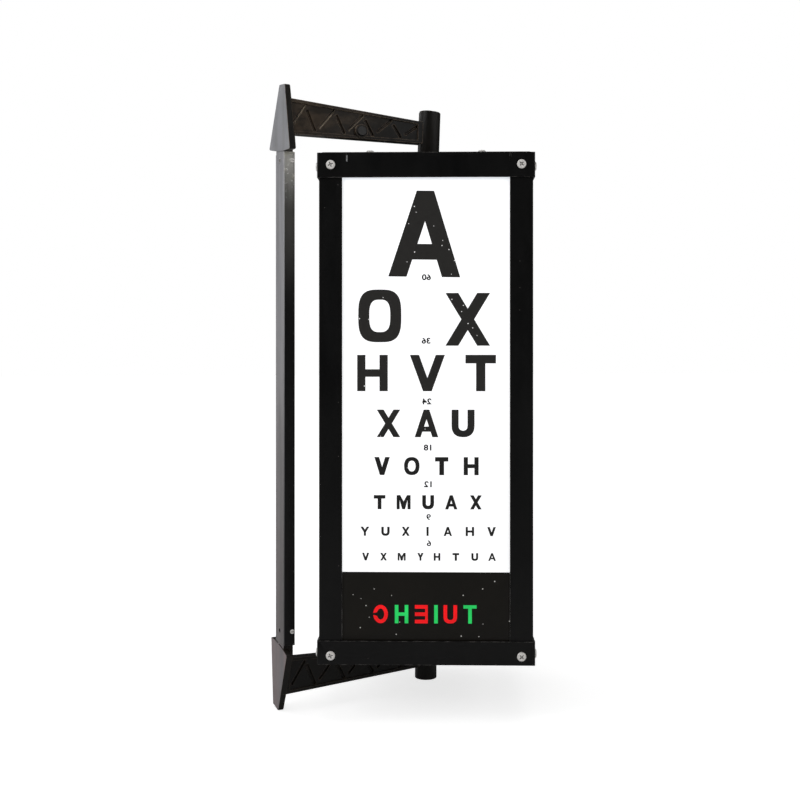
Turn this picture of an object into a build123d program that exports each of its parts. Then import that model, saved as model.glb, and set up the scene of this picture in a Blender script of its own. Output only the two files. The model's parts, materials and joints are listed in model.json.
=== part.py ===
"""Revolving lit eye-test chart drum on a cast wall bracket.

The wall is the plane Y = 0 and the bracket's arms reach into the room along -Y. +Z is up and the origin
is on the wall, half way between the two arms. The drum turns about a vertical spindle held by the arms.
Everything is in millimetres. The drum's parts are made about their own axis with the charted face
towards -Y, then turned to the angle at which the drum is parked and moved onto the spindle.
"""
from build123d import *
import math
import os

os.makedirs("parts", exist_ok=True)

# ---- bracket -------------------------------------------------------------------------------------
WALL_TO_AXIS = 173.0
COLUMN_WIDTH = 28.0
COLUMN_DEPTH = 12.4
COLUMN_WALL = 1.6
COLUMN_RECESS = 0.8
COLUMN_TOP = 256.6
COLUMN_BOTTOM = -262.0
WALL_HOLE_R = 2.1
WALL_HOLE_Z = 248.5
COUNTERSINK_R = 4.2
FIX_SCREW_INSET = -1.0
FIX_SCREW_Y = -10.0
FIX_HOLE_R = 1.25
FIX_HEAD_R = 2.4
FIX_HEAD = 1.3

ARM_THICK = 12.0
ARM_INNER_ROOT = 277.2
ARM_INNER_END = 279.2
ARM_OUTER_ROOT = 315.6
ARM_OUTER_END = 302.6
RIM = 3.2
RECESS = 1.6
GROOVE_DEEP = 2.0
GROOVE_FIRST_PEAK = 27.4
GROOVE_PERIOD = 33.5
GROOVE_PEAKS = 5
RISE_WIDE = 3.0
RISE_RUN = 17.5
RISE_FOOT_IN = 8.4
RISE_PEAK_IN = 4.2
FALL_WIDE = 3.8
FALL_START = 2.0
FALL_RUN = 9.4
FALL_FOOT_IN = 4.2
FALL_PEAK_IN = 9.0
FLANGE_CORNER_Z = 260.6
FLANGE_BULGE = 2.0
FLANGE_TOP = 327.7
FLANGE_TOP_WIDE = 70.0
FLANGE_TOP_TIP = 18.0
FLANGE_BOTTOM = 333.3
FLANGE_BOTTOM_DROP = 4.6
FLANGE_BOTTOM_WIDE = 53.0
FLANGE_BOTTOM_TIP = 18.0
FLANGE_THICK = 7.2
FLANGE_TIP_THICK = 6.2
FLANGE_TOP_LEAN = -8.0
FLANGE_BOTTOM_LEAN = -9.5
FLANGE_TOP_SHIFT = -1.0
FLANGE_BOTTOM_SHIFT = -0.5
TONGUE_LENGTH = 26.0
TONGUE_PLAY = 0.2

BARREL_R = 12.1
TOP_BARREL_OFFSET = 2.8
BOTTOM_BARREL_OFFSET = 1.2
TOP_BARREL_LEAN = 2.2
TOP_BARREL_OUT = 315.2
BOTTOM_BARREL_OUT = 317.6
TOP_BARREL_IN = 266.0
BOTTOM_BARREL_IN = 277.4
BOSS_R = 7.4
BOSS_REACH = 91.6
BOSS_Z = 286.6
BOSS_PROUD = 1.0
PLUG_R = 4.6
GROMMET_R = 6.6
GROMMET_BORE_R = 3.6

# ---- spindles and bearings -----------------------------------------------------------------------
SPINDLE_R = 7.0
SPINDLE_BORE_R = 4.2
SPINDLE_GRIP = 40.0
RUNNING_GAP = 0.05
BUSH_R = 11.0
HUB_R = 15.0
HUB_FLANGE_R = 33.0
HUB_FLANGE = 5.0
HUB_SCREW_PCD_R = 25.0
WASHER_THICK = 2.2
WASHER_R = 11.0
GRUB_R = 2.0

# ---- drum ----------------------------------------------------------------------------------------
REST_TURN = 244.2
BODY = 219.4
SHEET = 2.0
BAND = BODY + 2 * SHEET
BAND_CORNER_R = 1.6
DRUM_BOTTOM = -274.5
DRUM_TOP = 250.3
TOP_BAND = 25.5
BOTTOM_BAND = 24.3
CAP_LIP = 14.0
LID_INSET = 4.5
LID_THICK = 1.2
SLIT_LEFT = -81.0
SLIT_RIGHT = 86.5
SLIT_WIDTH = 1.3
SLIT_DEPTH = 9.0
POST_LEG = 23.7
POST_THICK = 2.0
PANEL = 208.0
PANEL_THICK = 3.0
PANEL_TOP = 230.0
PANEL_BOTTOM = -257.0
WINDOW_BOTTOM = -180.0
MASK_THICK = 0.5
MASK_SIDE_PLAY = 0.1
RETAINER_LEG = 12.0
RETAINER_THICK = 1.5

CAP_SCREW_IN = 14.0
CAP_SCREW_TOP_DOWN = 12.5
CAP_SCREW_BOTTOM_UP = 9.3
SCREW_HEAD_R = 4.7
SCREW_HEAD = 2.3
SCREW_SHANK_R = 2.0
SCREW_HOLE_R = 2.05
SCREW_LENGTH = 8.0
LID_SCREW_X = 57.6
LID_SCREW_IN = 9.0
LID_SCREW_HEAD_R = 3.9

# ---- drive and lighting inside the drum ----------------------------------------------------------
GEAR_MODULE = 1.5
SUN_TEETH = 60
PINION_TEETH = 20
PRESSURE_ANGLE = 20.0
BACKLASH = 0.24
SUN_BOTTOM = -248.0
SUN_WIDTH = 10.0
SUN_SEAT_R = 6.0
PINION_BEARING_DEG = 45.0
SHAFT_R = 3.0
GEARBOX_R = 18.5
GEARBOX_HIGH = 26.0
MOTOR_R = 14.0
MOTOR_HIGH = 38.0
DECK_BOTTOM = -230.0
DECK_THICK = 3.0
DECK = 196.0
PILLAR_XY = 82.0
PILLAR_R = 4.5
CORE = 50.0
CORE_WALL = 2.0
CORE_TOP = 238.0
STRIP_WIDTH = 12.0
STRIP_THICK = 1.6
STRIP_LENGTH = 420.0
CHIP = 5.0
CHIP_THICK = 1.4
CHIPS_PER_STRIP = 14
MAGNET_R = 3.0
MAGNET_RING_R = 36.0
SLIP_SLEEVE_R = 14.0
SLIP_RING_R = 15.5
SLIP_LOW = 196.0
SLIP_SLEEVE_HIGH = 28.0
SLIP_RING_WIDTH = 6.0
SLIP_RING_PITCH = 12.0
BRUSH_GAP = 0.4

AXIS_Y = -WALL_TO_AXIS
DECK_TOP = DECK_BOTTOM + DECK_THICK
PLATE_TOP = DRUM_BOTTOM + SHEET
TOP_SCREW_Z = DRUM_TOP - CAP_SCREW_TOP_DOWN
BOTTOM_SCREW_Z = DRUM_BOTTOM + CAP_SCREW_BOTTOM_UP
TOP_HUB_FLANGE = DRUM_TOP - HUB_FLANGE
CORNERS = [(-1, -1), (1, -1), (1, 1), (-1, 1)]
FACES = ["front", "right", "back", "left"]


def block(x0, x1, y0, y1, z0, z1):
    """A box between two corners."""
    centre = Pos((x0 + x1) / 2, (y0 + y1) / 2, (z0 + z1) / 2)
    return centre * Box(x1 - x0, y1 - y0, z1 - z0)


def disc(radius, z0, z1, x=0.0, y=0.0):
    """An upright cylinder between two heights."""
    return Pos(x, y, (z0 + z1) / 2) * Cylinder(radius, z1 - z0)


def along_y(radius, y0, y1, x, z):
    """A cylinder that lies along Y."""
    return Pos(x, (y0 + y1) / 2, z) * Rot(90, 0, 0) * Cylinder(radius, y1 - y0)


def along_x(radius, x0, x1, y, z):
    """A cylinder that lies along X."""
    return Pos((x0 + x1) / 2, y, z) * Rot(0, 90, 0) * Cylinder(radius, x1 - x0)


def prism(plane, points, amount, both=False):
    """A closed outline, extruded."""
    outline = make_face(plane * Polyline(*points, close=True))
    return extrude(outline, amount=amount, dir=plane.z_dir, both=both)


def quarter_turn(shape, count):
    """A piece of the drum's front, turned to another of its four faces."""
    return Rot(0, 0, 90 * count) * shape


def park(shape):
    """From the drum's own frame to the angle and place at which it is parked."""
    return Pos(0, AXIS_Y, 0) * Rot(0, 0, REST_TURN) * shape


def save(node, *solids):
    """Write a node: one solid, or a group of separate ones."""
    shape = solids[0] if len(solids) == 1 else Compound(children=list(solids))
    export_step(shape, f"parts/{node}.step")


# ---- bracket -------------------------------------------------------------------------------------
def between(root, end, reach):
    """A height on a straight edge of the arm, at a distance from the wall."""
    return root + (end - root) * reach / WALL_TO_AXIS


def wall_flange(wide, tip_wide, corner_z, far, lean, shift):
    """The arrow-shaped wall plate, with its wide, bulging end towards the column, cast a little askew."""
    half = wide / 2
    tip = tip_wide / 2
    wide_end = ThreePointArc((-half, corner_z), (0, corner_z - FLANGE_BULGE), (half, corner_z))
    sides = Polyline((half, corner_z), (tip, far), (-tip, far), (-half, corner_z))
    face = make_face(Plane.XZ * (wide_end + sides))
    face = fillet([v for v in face.vertices() if v.Z < corner_z + 1], 1.6)
    face = fillet([v for v in face.vertices() if v.Z > far - 1], 1.5)
    plate = extrude(face, amount=FLANGE_THICK)
    side_view = [
        (0, corner_z - FLANGE_BULGE - 1),
        (-FLANGE_THICK, corner_z - FLANGE_BULGE - 1),
        (-FLANGE_THICK, ARM_INNER_ROOT),
        (-FLANGE_TIP_THICK, far + 1),
        (0, far + 1),
    ]
    plate = plate & prism(Plane.YZ, side_view, wide, both=True)
    rim = [e for e in plate.edges() if e.center().Y < -FLANGE_TIP_THICK + 0.4]
    plate = chamfer(rim, 0.8)
    return Pos(shift, 0, corner_z) * Rot(0, lean, 0) * Pos(0, 0, -corner_z) * plate


def arm_web(turned):
    """The tapering web from the flange to the barrel, with raised rims and zigzag grooves on both sides.

    The zigzag starts at the inner edge, or at the outer one when it is turned.
    """
    start = 3.0
    outline = [
        (-start, between(ARM_INNER_ROOT, ARM_INNER_END, start)),
        (AXIS_Y, ARM_INNER_END),
        (AXIS_Y, ARM_OUTER_END),
        (-start, between(ARM_OUTER_ROOT, ARM_OUTER_END, start)),
    ]
    web = prism(Plane.YZ, outline, ARM_THICK / 2, both=True)
    near = FLANGE_THICK + 3.0
    far = WALL_TO_AXIS - BARREL_R - 1.5
    pocket_outline = [
        (-near, between(ARM_INNER_ROOT, ARM_INNER_END, near) + RIM),
        (-far, between(ARM_INNER_ROOT, ARM_INNER_END, far) + RIM),
        (-far, between(ARM_OUTER_ROOT, ARM_OUTER_END, far) - RIM),
        (-near, between(ARM_OUTER_ROOT, ARM_OUTER_END, near) - RIM),
    ]
    cuts = [prism(Plane.YZ.offset(ARM_THICK / 2 - RECESS), pocket_outline, RECESS + 1)]
    for k in range(GROOVE_PEAKS):
        peak = GROOVE_FIRST_PEAK + k * GROOVE_PERIOD
        cuts.append(groove(peak - RISE_RUN, RISE_FOOT_IN, peak, RISE_PEAK_IN, RISE_WIDE, turned))
        if k < GROOVE_PEAKS - 1:
            start = peak + FALL_START
            cuts.append(groove(start + FALL_RUN, FALL_FOOT_IN, start, FALL_PEAK_IN, FALL_WIDE, turned))
    for cut in cuts:
        web -= cut
        web -= mirror(cut, about=Plane.YZ)
    return web


def groove(foot_reach, foot_in, peak_reach, peak_in, wide, turned):
    """One straight tapered groove across the web, between distances from its inner and outer edges."""
    foot_reach = max(foot_reach, FLANGE_THICK + 5.0)
    if turned:
        foot = (-foot_reach, between(ARM_OUTER_ROOT, ARM_OUTER_END, foot_reach) - foot_in)
        peak = (-peak_reach, between(ARM_INNER_ROOT, ARM_INNER_END, peak_reach) + peak_in)
    else:
        foot = (-foot_reach, between(ARM_INNER_ROOT, ARM_INNER_END, foot_reach) + foot_in)
        peak = (-peak_reach, between(ARM_OUTER_ROOT, ARM_OUTER_END, peak_reach) - peak_in)
    run = math.hypot(peak[0] - foot[0], peak[1] - foot[1])
    along = ((peak[0] - foot[0]) / run, (peak[1] - foot[1]) / run)
    floor = ARM_THICK / 2 - RECESS
    sections = []
    for width, x in ((wide, floor), (wide * 0.35, floor - GROOVE_DEEP)):
        half = width / 2
        corners = [
            (foot[0] - along[1] * half, foot[1] + along[0] * half),
            (peak[0] - along[1] * half, peak[1] + along[0] * half),
            (peak[0] + along[1] * half, peak[1] - along[0] * half),
            (foot[0] + along[1] * half, foot[1] - along[0] * half),
        ]
        sections.append(make_face(Plane.YZ.offset(x) * Polyline(*corners, close=True)))
    return loft(sections, ruled=True)


def tongue(column_end):
    """The casting's tongue, which fits inside the end of the column."""
    inside = COLUMN_WALL + TONGUE_PLAY
    low = column_end - TONGUE_LENGTH
    half = COLUMN_WIDTH / 2 - inside
    back = -COLUMN_RECESS - inside
    front = -COLUMN_RECESS - COLUMN_DEPTH + inside
    body = block(-half, half, front, back, low, column_end)
    neck = block(-half, half, front, -1.0, column_end, ARM_INNER_ROOT + 2.0)
    return body + neck


def arm_casting(flange, column_end, barrel, with_boss, turned):
    """One end of the bracket: wall flange, web, barrel and tongue in one casting."""
    arm = flange + arm_web(turned) + tongue(column_end) + barrel
    if with_boss:
        arm += along_x(BOSS_R, -ARM_THICK / 2 - BOSS_PROUD, ARM_THICK / 2, -BOSS_REACH, BOSS_Z)
        arm -= along_x(PLUG_R, -ARM_THICK, 0, -BOSS_REACH, BOSS_Z)
    arm -= along_y(WALL_HOLE_R, -COLUMN_DEPTH - 5, 5, 0, WALL_HOLE_Z)
    for side in (-1, 1):
        inner = COLUMN_WIDTH / 2 - COLUMN_WALL - 6.0
        x0, x1 = sorted((side * inner, side * COLUMN_WIDTH))
        arm -= along_x(FIX_HOLE_R, x0, x1, FIX_SCREW_Y, WALL_HOLE_Z + FIX_SCREW_INSET)
    return arm


def rounded_barrel(barrel_in, barrel_out):
    """A barrel's outside, rounded at its closed or open outer end."""
    barrel = disc(BARREL_R, barrel_in, barrel_out)
    return fillet(barrel.edges().sort_by(Axis.Z)[-1], 1.0)


def grub_height(barrel_in, barrel_out):
    """The grub screws stand half way along the barrels."""
    return (barrel_in + barrel_out) / 2


def top_arm():
    """The upper casting, its barrel cast askew round an upright bore that is open for the supply wires."""
    flange = wall_flange(
        FLANGE_TOP_WIDE, FLANGE_TOP_TIP, FLANGE_CORNER_Z, FLANGE_TOP, FLANGE_TOP_LEAN, FLANGE_TOP_SHIFT
    )
    middle = grub_height(TOP_BARREL_IN, TOP_BARREL_OUT)
    barrel = Pos(0, 0, middle) * Rot(TOP_BARREL_LEAN, 0, 0) * Pos(0, 0, -middle) * rounded_barrel(
        TOP_BARREL_IN, TOP_BARREL_OUT
    )
    barrel = Pos(0, AXIS_Y - TOP_BARREL_OFFSET, 0) * barrel
    arm = arm_casting(flange, COLUMN_TOP, barrel, True, False)
    arm -= disc(SPINDLE_R, TOP_BARREL_IN - 2, TOP_BARREL_OUT - 5.5, 0, AXIS_Y)
    arm -= disc(GROMMET_R, TOP_BARREL_OUT - 5.5, TOP_BARREL_OUT + 2, 0, AXIS_Y)
    arm -= disc(GROMMET_R + 1.5, TOP_BARREL_OUT, TOP_BARREL_OUT + 2, 0, AXIS_Y)
    return arm - along_y(GRUB_R, AXIS_Y - BARREL_R - 5, AXIS_Y, 0, middle)


def bottom_arm():
    """A casting the other way up, with a blind bore for the load-bearing spindle."""
    flange = wall_flange(
        FLANGE_BOTTOM_WIDE, FLANGE_BOTTOM_TIP, FLANGE_CORNER_Z + FLANGE_BOTTOM_DROP, FLANGE_BOTTOM,
        FLANGE_BOTTOM_LEAN, FLANGE_BOTTOM_SHIFT,
    )
    barrel = Pos(0, AXIS_Y + BOTTOM_BARREL_OFFSET, 0) * rounded_barrel(BOTTOM_BARREL_IN, BOTTOM_BARREL_OUT)
    arm = arm_casting(flange, -COLUMN_BOTTOM, barrel, False, True)
    arm -= disc(SPINDLE_R, BOTTOM_BARREL_IN - 1, BOTTOM_BARREL_OUT - 5.0, 0, AXIS_Y)
    arm -= along_y(GRUB_R, AXIS_Y - BARREL_R - 1, AXIS_Y, 0, grub_height(BOTTOM_BARREL_IN, BOTTOM_BARREL_OUT))
    return Rot(0, 180, 0) * arm


def wall_column():
    """The rectangular tube between the castings, with a countersunk wall-screw hole near each end."""
    half = COLUMN_WIDTH / 2
    back = -COLUMN_RECESS
    front = back - COLUMN_DEPTH
    tube = block(-half, half, front, back, COLUMN_BOTTOM, COLUMN_TOP)
    tube = fillet(tube.edges().filter_by(Axis.Z), 1.2)
    tube -= block(
        -half + COLUMN_WALL, half - COLUMN_WALL, front + COLUMN_WALL, back - COLUMN_WALL,
        COLUMN_BOTTOM - 1, COLUMN_TOP + 1,
    )
    for end in (-1, 1):
        tube -= along_y(WALL_HOLE_R, front - 1, 1, 0, end * WALL_HOLE_Z)
        sink = Pos(0, front + COLUMN_WALL / 2, end * WALL_HOLE_Z) * Rot(90, 0, 0)
        tube -= sink * Cone(WALL_HOLE_R, COUNTERSINK_R, COLUMN_WALL)
        for side in (-1, 1):
            x0, x1 = sorted((side * (half - 3), side * (half + 1)))
            tube -= along_x(FIX_HOLE_R, x0, x1, FIX_SCREW_Y, end * (WALL_HOLE_Z + FIX_SCREW_INSET))
    return tube


def arm_fixing_screws():
    """Small round-head screws through the tube's narrow sides into the tongues."""
    screws = []
    for end in (-1, 1):
        for side in (-1, 1):
            z = end * (WALL_HOLE_Z + FIX_SCREW_INSET)
            face = COLUMN_WIDTH / 2
            head = along_x(FIX_HEAD_R, face, face + FIX_HEAD, FIX_SCREW_Y, z)
            head = fillet(head.edges().sort_by(Axis.X)[-1], 0.9)
            shank = along_x(FIX_HOLE_R - 0.05, face - 6.0, face, FIX_SCREW_Y, z)
            low = face + FIX_HEAD - 0.5
            slot = block(low, low + 2, FIX_SCREW_Y - 4, FIX_SCREW_Y + 4, z - 0.35, z + 0.35)
            screw = head + shank - slot
            screws.append(screw if side > 0 else mirror(screw, about=Plane.YZ))
    return screws


def barrel_grub_screws():
    """Socket grub screws that lock the spindles in their barrels."""
    screws = []
    top = grub_height(TOP_BARREL_IN, TOP_BARREL_OUT)
    bottom = -grub_height(BOTTOM_BARREL_IN, BOTTOM_BARREL_OUT)
    for z, offset in ((top, TOP_BARREL_OFFSET), (bottom, -BOTTOM_BARREL_OFFSET)):
        outside = AXIS_Y - BARREL_R - offset + 0.8
        inside = AXIS_Y - SPINDLE_R - 0.15
        screw = along_y(GRUB_R - 0.05, outside, inside, 0, z)
        screw -= along_y(0.9, outside - 1, outside + 1.4, 0, z)
        screws.append(screw)
    return screws


def boss_plug():
    """Plastic blanking plug with a domed head, in the boss on the upper arm's side."""
    face = -ARM_THICK / 2 - BOSS_PROUD
    head = along_x(PLUG_R + 1.0, face - 1.4, face, -BOSS_REACH, BOSS_Z)
    head = fillet(head.edges().sort_by(Axis.X)[0], 1.1)
    return head + along_x(PLUG_R - 0.05, face, -0.6, -BOSS_REACH, BOSS_Z)


def cable_grommet():
    """Rubber ring in the upper barrel's open end."""
    low = TOP_BARREL_OUT - 5.5
    ring = disc(GROMMET_R - 0.05, low + 0.1, TOP_BARREL_OUT + 0.4, 0, AXIS_Y)
    ring += disc(GROMMET_R + 1.4, TOP_BARREL_OUT, TOP_BARREL_OUT + 1.0, 0, AXIS_Y)
    ring -= disc(GROMMET_BORE_R, low - 1, TOP_BARREL_OUT + 3, 0, AXIS_Y)
    return fillet(ring.edges().sort_by(Axis.Z)[-1], 0.4)


# ---- spindles and bearings -----------------------------------------------------------------------
def top_spindle():
    """Hollow spindle from the upper barrel down through the slip rings."""
    low = SLIP_LOW - 6.0
    tube = disc(SPINDLE_R - 0.02, low, TOP_BARREL_OUT - 5.6, 0, AXIS_Y)
    return tube - disc(SPINDLE_BORE_R, low - 1, TOP_BARREL_OUT, 0, AXIS_Y)


def bottom_spindle():
    """Solid spindle from the lower barrel up to the seat of the fixed gear."""
    seat = SUN_BOTTOM - 2.0
    low = -(BOTTOM_BARREL_OUT - 5.2)
    shaft = disc(SPINDLE_R - 0.02, low, seat, 0, AXIS_Y)
    shaft += disc(SUN_SEAT_R, seat, SUN_BOTTOM + SUN_WIDTH, 0, AXIS_Y)
    return shaft - disc(3.05, SUN_BOTTOM - 6, SUN_BOTTOM + SUN_WIDTH + 1, 0, AXIS_Y)


def thrust_washer():
    """Bronze washer on the lower barrel, under the drum's bush."""
    low = -BOTTOM_BARREL_IN
    washer = disc(WASHER_R, low, low + WASHER_THICK, 0, AXIS_Y)
    return washer - disc(SPINDLE_R + 0.05, low - 1, low + WASHER_THICK + 1, 0, AXIS_Y)


def bush(low, high):
    """Plain bronze bush, in the drum's frame."""
    return disc(BUSH_R - 0.02, low, high) - disc(SPINDLE_R - 0.02 + RUNNING_GAP, low - 1, high + 1)


def hub(low, high, flange_low):
    """Flanged housing of a bush, with four screw holes in its flange."""
    body = disc(HUB_R, low, high) + disc(HUB_FLANGE_R, flange_low, flange_low + HUB_FLANGE)
    body -= disc(BUSH_R, low - 1, high + 1)
    for x, y in hub_screw_places():
        body -= disc(SCREW_HOLE_R, flange_low - 1, flange_low + HUB_FLANGE + 1, x, y)
    return body


def hub_screw_places():
    """The four hub screws stand on the diagonals."""
    reach = HUB_SCREW_PCD_R / math.sqrt(2)
    return [(sx * reach, sy * reach) for sx, sy in CORNERS]


# ---- screws --------------------------------------------------------------------------------------
def pan_screw(head_r, head_high, length):
    """Cross-recess pan-head screw standing on the plane Z = 0, with its shank pointing down."""
    head = disc(head_r, 0, head_high)
    head = fillet(head.edges().sort_by(Axis.Z)[-1], head_high * 0.7)
    arm = head_r * 0.55
    depth = head_high * 0.6
    cross = block(-arm, arm, -0.45, 0.45, head_high - depth, head_high + 1)
    cross += block(-0.45, 0.45, -arm, arm, head_high - depth, head_high + 1)
    cross += Pos(0, 0, head_high - depth / 2) * Cone(0.7, 1.5, depth)
    return head + disc(SCREW_SHANK_R, -length, 0) - cross


def flat_screw(length):
    """Countersunk-style thin screw head for plates on the drum's ends."""
    head = disc(SCREW_HEAD_R - 0.7, 0, 1.6)
    head -= block(-2.4, 2.4, -0.4, 0.4, 0.8, 2)
    return head + disc(SCREW_SHANK_R, -length, 0)


def cap_screws(z):
    """Two screws on each side face of a cap, through the sheet into the corner posts."""
    screws = []
    turned = 0
    for count in range(4):
        for side in (-1, 1):
            turned += 1
            screw = Rot(0, 0, 23.0 * turned) * pan_screw(SCREW_HEAD_R, SCREW_HEAD, SCREW_LENGTH)
            place = Pos(side * (BAND / 2 - CAP_SCREW_IN), -BAND / 2, z) * Rot(90, 0, 0)
            screws.append(park(quarter_turn(place * screw, count)))
    return screws


def cap_screw_holes(z):
    """Bores for the cap screws."""
    holes = []
    for count in range(4):
        for side in (-1, 1):
            x = side * (BAND / 2 - CAP_SCREW_IN)
            holes.append(quarter_turn(along_y(SCREW_HOLE_R, -BAND / 2 - 1, -BODY / 2 + 4, x, z), count))
    return holes


# ---- drum casing ---------------------------------------------------------------------------------
def square_post(size, corner_r, z0, z1):
    """A square column with rounded upright edges."""
    body = block(-size / 2, size / 2, -size / 2, size / 2, z0, z1)
    return fillet(body.edges().filter_by(Axis.Z), corner_r) if corner_r else body


def top_cap():
    """Folded band round the drum's top with an inward lip, and a slit beside each corner."""
    low = DRUM_TOP - TOP_BAND
    cap = square_post(BAND, BAND_CORNER_R, low, DRUM_TOP)
    cap -= square_post(BODY, 0, low - 1, DRUM_TOP - SHEET)
    cap -= square_post(BODY - 2 * CAP_LIP, 0, low - 1, DRUM_TOP + 1)
    for count in range(4):
        for x in (SLIT_LEFT, SLIT_RIGHT):
            slit = block(
                x - SLIT_WIDTH / 2, x + SLIT_WIDTH / 2, -BAND / 2 - 1, -BODY / 2 + 2,
                DRUM_TOP - SLIT_DEPTH, DRUM_TOP + 1,
            )
            cap -= quarter_turn(slit, count)
    for hole in cap_screw_holes(TOP_SCREW_Z):
        cap -= hole
    for x, y in lid_screw_places():
        cap -= disc(SCREW_HOLE_R, DRUM_TOP - 9, DRUM_TOP + 1, x, y)
    return cap


def bottom_cap():
    """Folded tray that closes the drum's lower end and carries the lower hub."""
    cap = square_post(BAND, BAND_CORNER_R, DRUM_BOTTOM, DRUM_BOTTOM + BOTTOM_BAND)
    cap -= square_post(BODY, 0, PLATE_TOP, DRUM_BOTTOM + BOTTOM_BAND + 1)
    cap -= disc(HUB_R + 0.5, DRUM_BOTTOM - 1, PLATE_TOP + 1)
    for hole in cap_screw_holes(BOTTOM_SCREW_Z):
        cap -= hole
    for x, y in hub_screw_places() + pillar_places():
        cap -= disc(SCREW_HOLE_R, DRUM_BOTTOM - 1, PLATE_TOP + 1, x, y)
    return cap


def lid_screw_places():
    """Two lid screws near each edge."""
    edge = BAND / 2 - LID_SCREW_IN
    front = [(-LID_SCREW_X, -edge), (LID_SCREW_X, -edge)]
    return [(x * c - y * s, x * s + y * c) for c, s in ((1, 0), (0, 1), (-1, 0), (0, -1)) for x, y in front]


def lid_plate():
    """Flat plate screwed down on the top cap's lip, with the upper hub through its middle."""
    lid = square_post(BAND - 2 * LID_INSET, 2.0, DRUM_TOP, DRUM_TOP + LID_THICK)
    lid -= disc(HUB_R + 0.5, DRUM_TOP - 1, DRUM_TOP + LID_THICK + 1)
    for x, y in lid_screw_places() + hub_screw_places():
        lid -= disc(SCREW_HOLE_R, DRUM_TOP - 1, DRUM_TOP + LID_THICK + 1, x, y)
    return lid


def lid_screws():
    """Pan screws that hold the lid plate."""
    top = DRUM_TOP + LID_THICK
    return [park(Pos(x, y, top) * pan_screw(LID_SCREW_HEAD_R, 2.1, 6.0)) for x, y in lid_screw_places()]


def corner_post():
    """Angle section at the corner where the front face meets the left face."""
    low = PLATE_TOP
    high = DRUM_TOP - SHEET
    edge = -BODY / 2
    post = block(edge, edge + POST_LEG, edge, edge + POST_THICK, low, high)
    post += block(edge, edge + POST_THICK, edge, edge + POST_LEG, low, high)
    for z in (TOP_SCREW_Z, BOTTOM_SCREW_Z):
        for count in (0, 1):
            x = -(BAND / 2 - CAP_SCREW_IN)
            hole = along_y(SCREW_HOLE_R, -BAND / 2 - 1, -BODY / 2 + 4, x, z)
            post -= hole if count == 0 else quarter_turn(mirror(hole, about=Plane.YZ), -1)
    return post


def chart_panel():
    """Opal sheet behind the front window."""
    face = -BODY / 2 + POST_THICK
    return block(-PANEL / 2, PANEL / 2, face, face + PANEL_THICK, PANEL_BOTTOM, PANEL_TOP)


def lower_mask():
    """Thin black sheet on the lower part of the front panel, between the posts."""
    face = -BODY / 2 + POST_THICK
    half = BODY / 2 - POST_LEG - MASK_SIDE_PLAY
    return block(-half, half, face - MASK_THICK, face, PANEL_BOTTOM, WINDOW_BOTTOM)


def panel_retainers():
    """Small angles in the inner corners that hold the panels against the posts."""
    reach = -BODY / 2 + POST_THICK + PANEL_THICK
    leg = reach + RETAINER_LEG
    angle = block(reach, leg, reach, reach + RETAINER_THICK, PANEL_BOTTOM + 40, PANEL_TOP - 4)
    angle += block(reach, reach + RETAINER_THICK, reach, leg, PANEL_BOTTOM + 40, PANEL_TOP - 4)
    return [park(quarter_turn(angle, count)) for count in range(4)]


# ---- drive ---------------------------------------------------------------------------------------
def gear_outline(teeth, first_tooth_deg, backlash):
    """Involute spur-gear outline with one tooth centred on first_tooth_deg."""
    pitch_r = GEAR_MODULE * teeth / 2
    base_r = pitch_r * math.cos(math.radians(PRESSURE_ANGLE))
    tip_r = pitch_r + GEAR_MODULE * 0.9
    root_r = pitch_r - GEAR_MODULE * 1.25

    def involute(radius):
        ratio = max(radius, base_r) / base_r
        roll = math.sqrt(ratio * ratio - 1)
        return roll - math.atan(roll)

    half_tooth = math.pi / (2 * teeth) - backlash / (2 * pitch_r)
    flank = [root_r] + [base_r + (tip_r - base_r) * k / 3 for k in range(4)]
    if root_r > base_r:
        flank = [root_r + (tip_r - root_r) * k / 4 for k in range(5)]
    points = []
    for tooth in range(teeth):
        middle = math.radians(first_tooth_deg) + 2 * math.pi * tooth / teeth
        spread = [half_tooth + involute(pitch_r) - involute(r) for r in flank]
        rising = [(r, middle - a) for r, a in zip(flank, spread)]
        falling = [(r, middle + a) for r, a in zip(reversed(flank), reversed(spread))]
        points += [(r * math.cos(a), r * math.sin(a)) for r, a in rising + falling]
    return points


def pinion_place():
    """The pinion's centre in the drum's frame."""
    distance = GEAR_MODULE * (SUN_TEETH + PINION_TEETH) / 2
    angle = math.radians(PINION_BEARING_DEG)
    return distance * math.cos(angle), distance * math.sin(angle)


def sun_gear():
    """Fixed gear on the lower spindle, with four blind pockets for the index magnets."""
    high = SUN_BOTTOM + SUN_WIDTH
    outline = gear_outline(SUN_TEETH, PINION_BEARING_DEG, BACKLASH / 2)
    gear = prism(Plane.XY.offset(SUN_BOTTOM), outline, SUN_WIDTH)
    gear += disc(14.0, SUN_BOTTOM - 1.9, SUN_BOTTOM)
    gear -= disc(SUN_SEAT_R + 0.03, SUN_BOTTOM - 3, high + 1)
    for x, y in magnet_places():
        gear -= disc(MAGNET_R, high - 3.0, high + 1, x, y)
    return gear


def magnet_places():
    """One magnet for each of the drum's four faces."""
    return [(MAGNET_RING_R * c, MAGNET_RING_R * s) for c, s in ((1, 0), (0, 1), (-1, 0), (0, -1))]


def index_magnets():
    """Small disc magnets flush with the fixed gear's top."""
    high = SUN_BOTTOM + SUN_WIDTH
    return [park(disc(MAGNET_R - 0.05, high - 2.9, high, x, y)) for x, y in magnet_places()]


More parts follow.
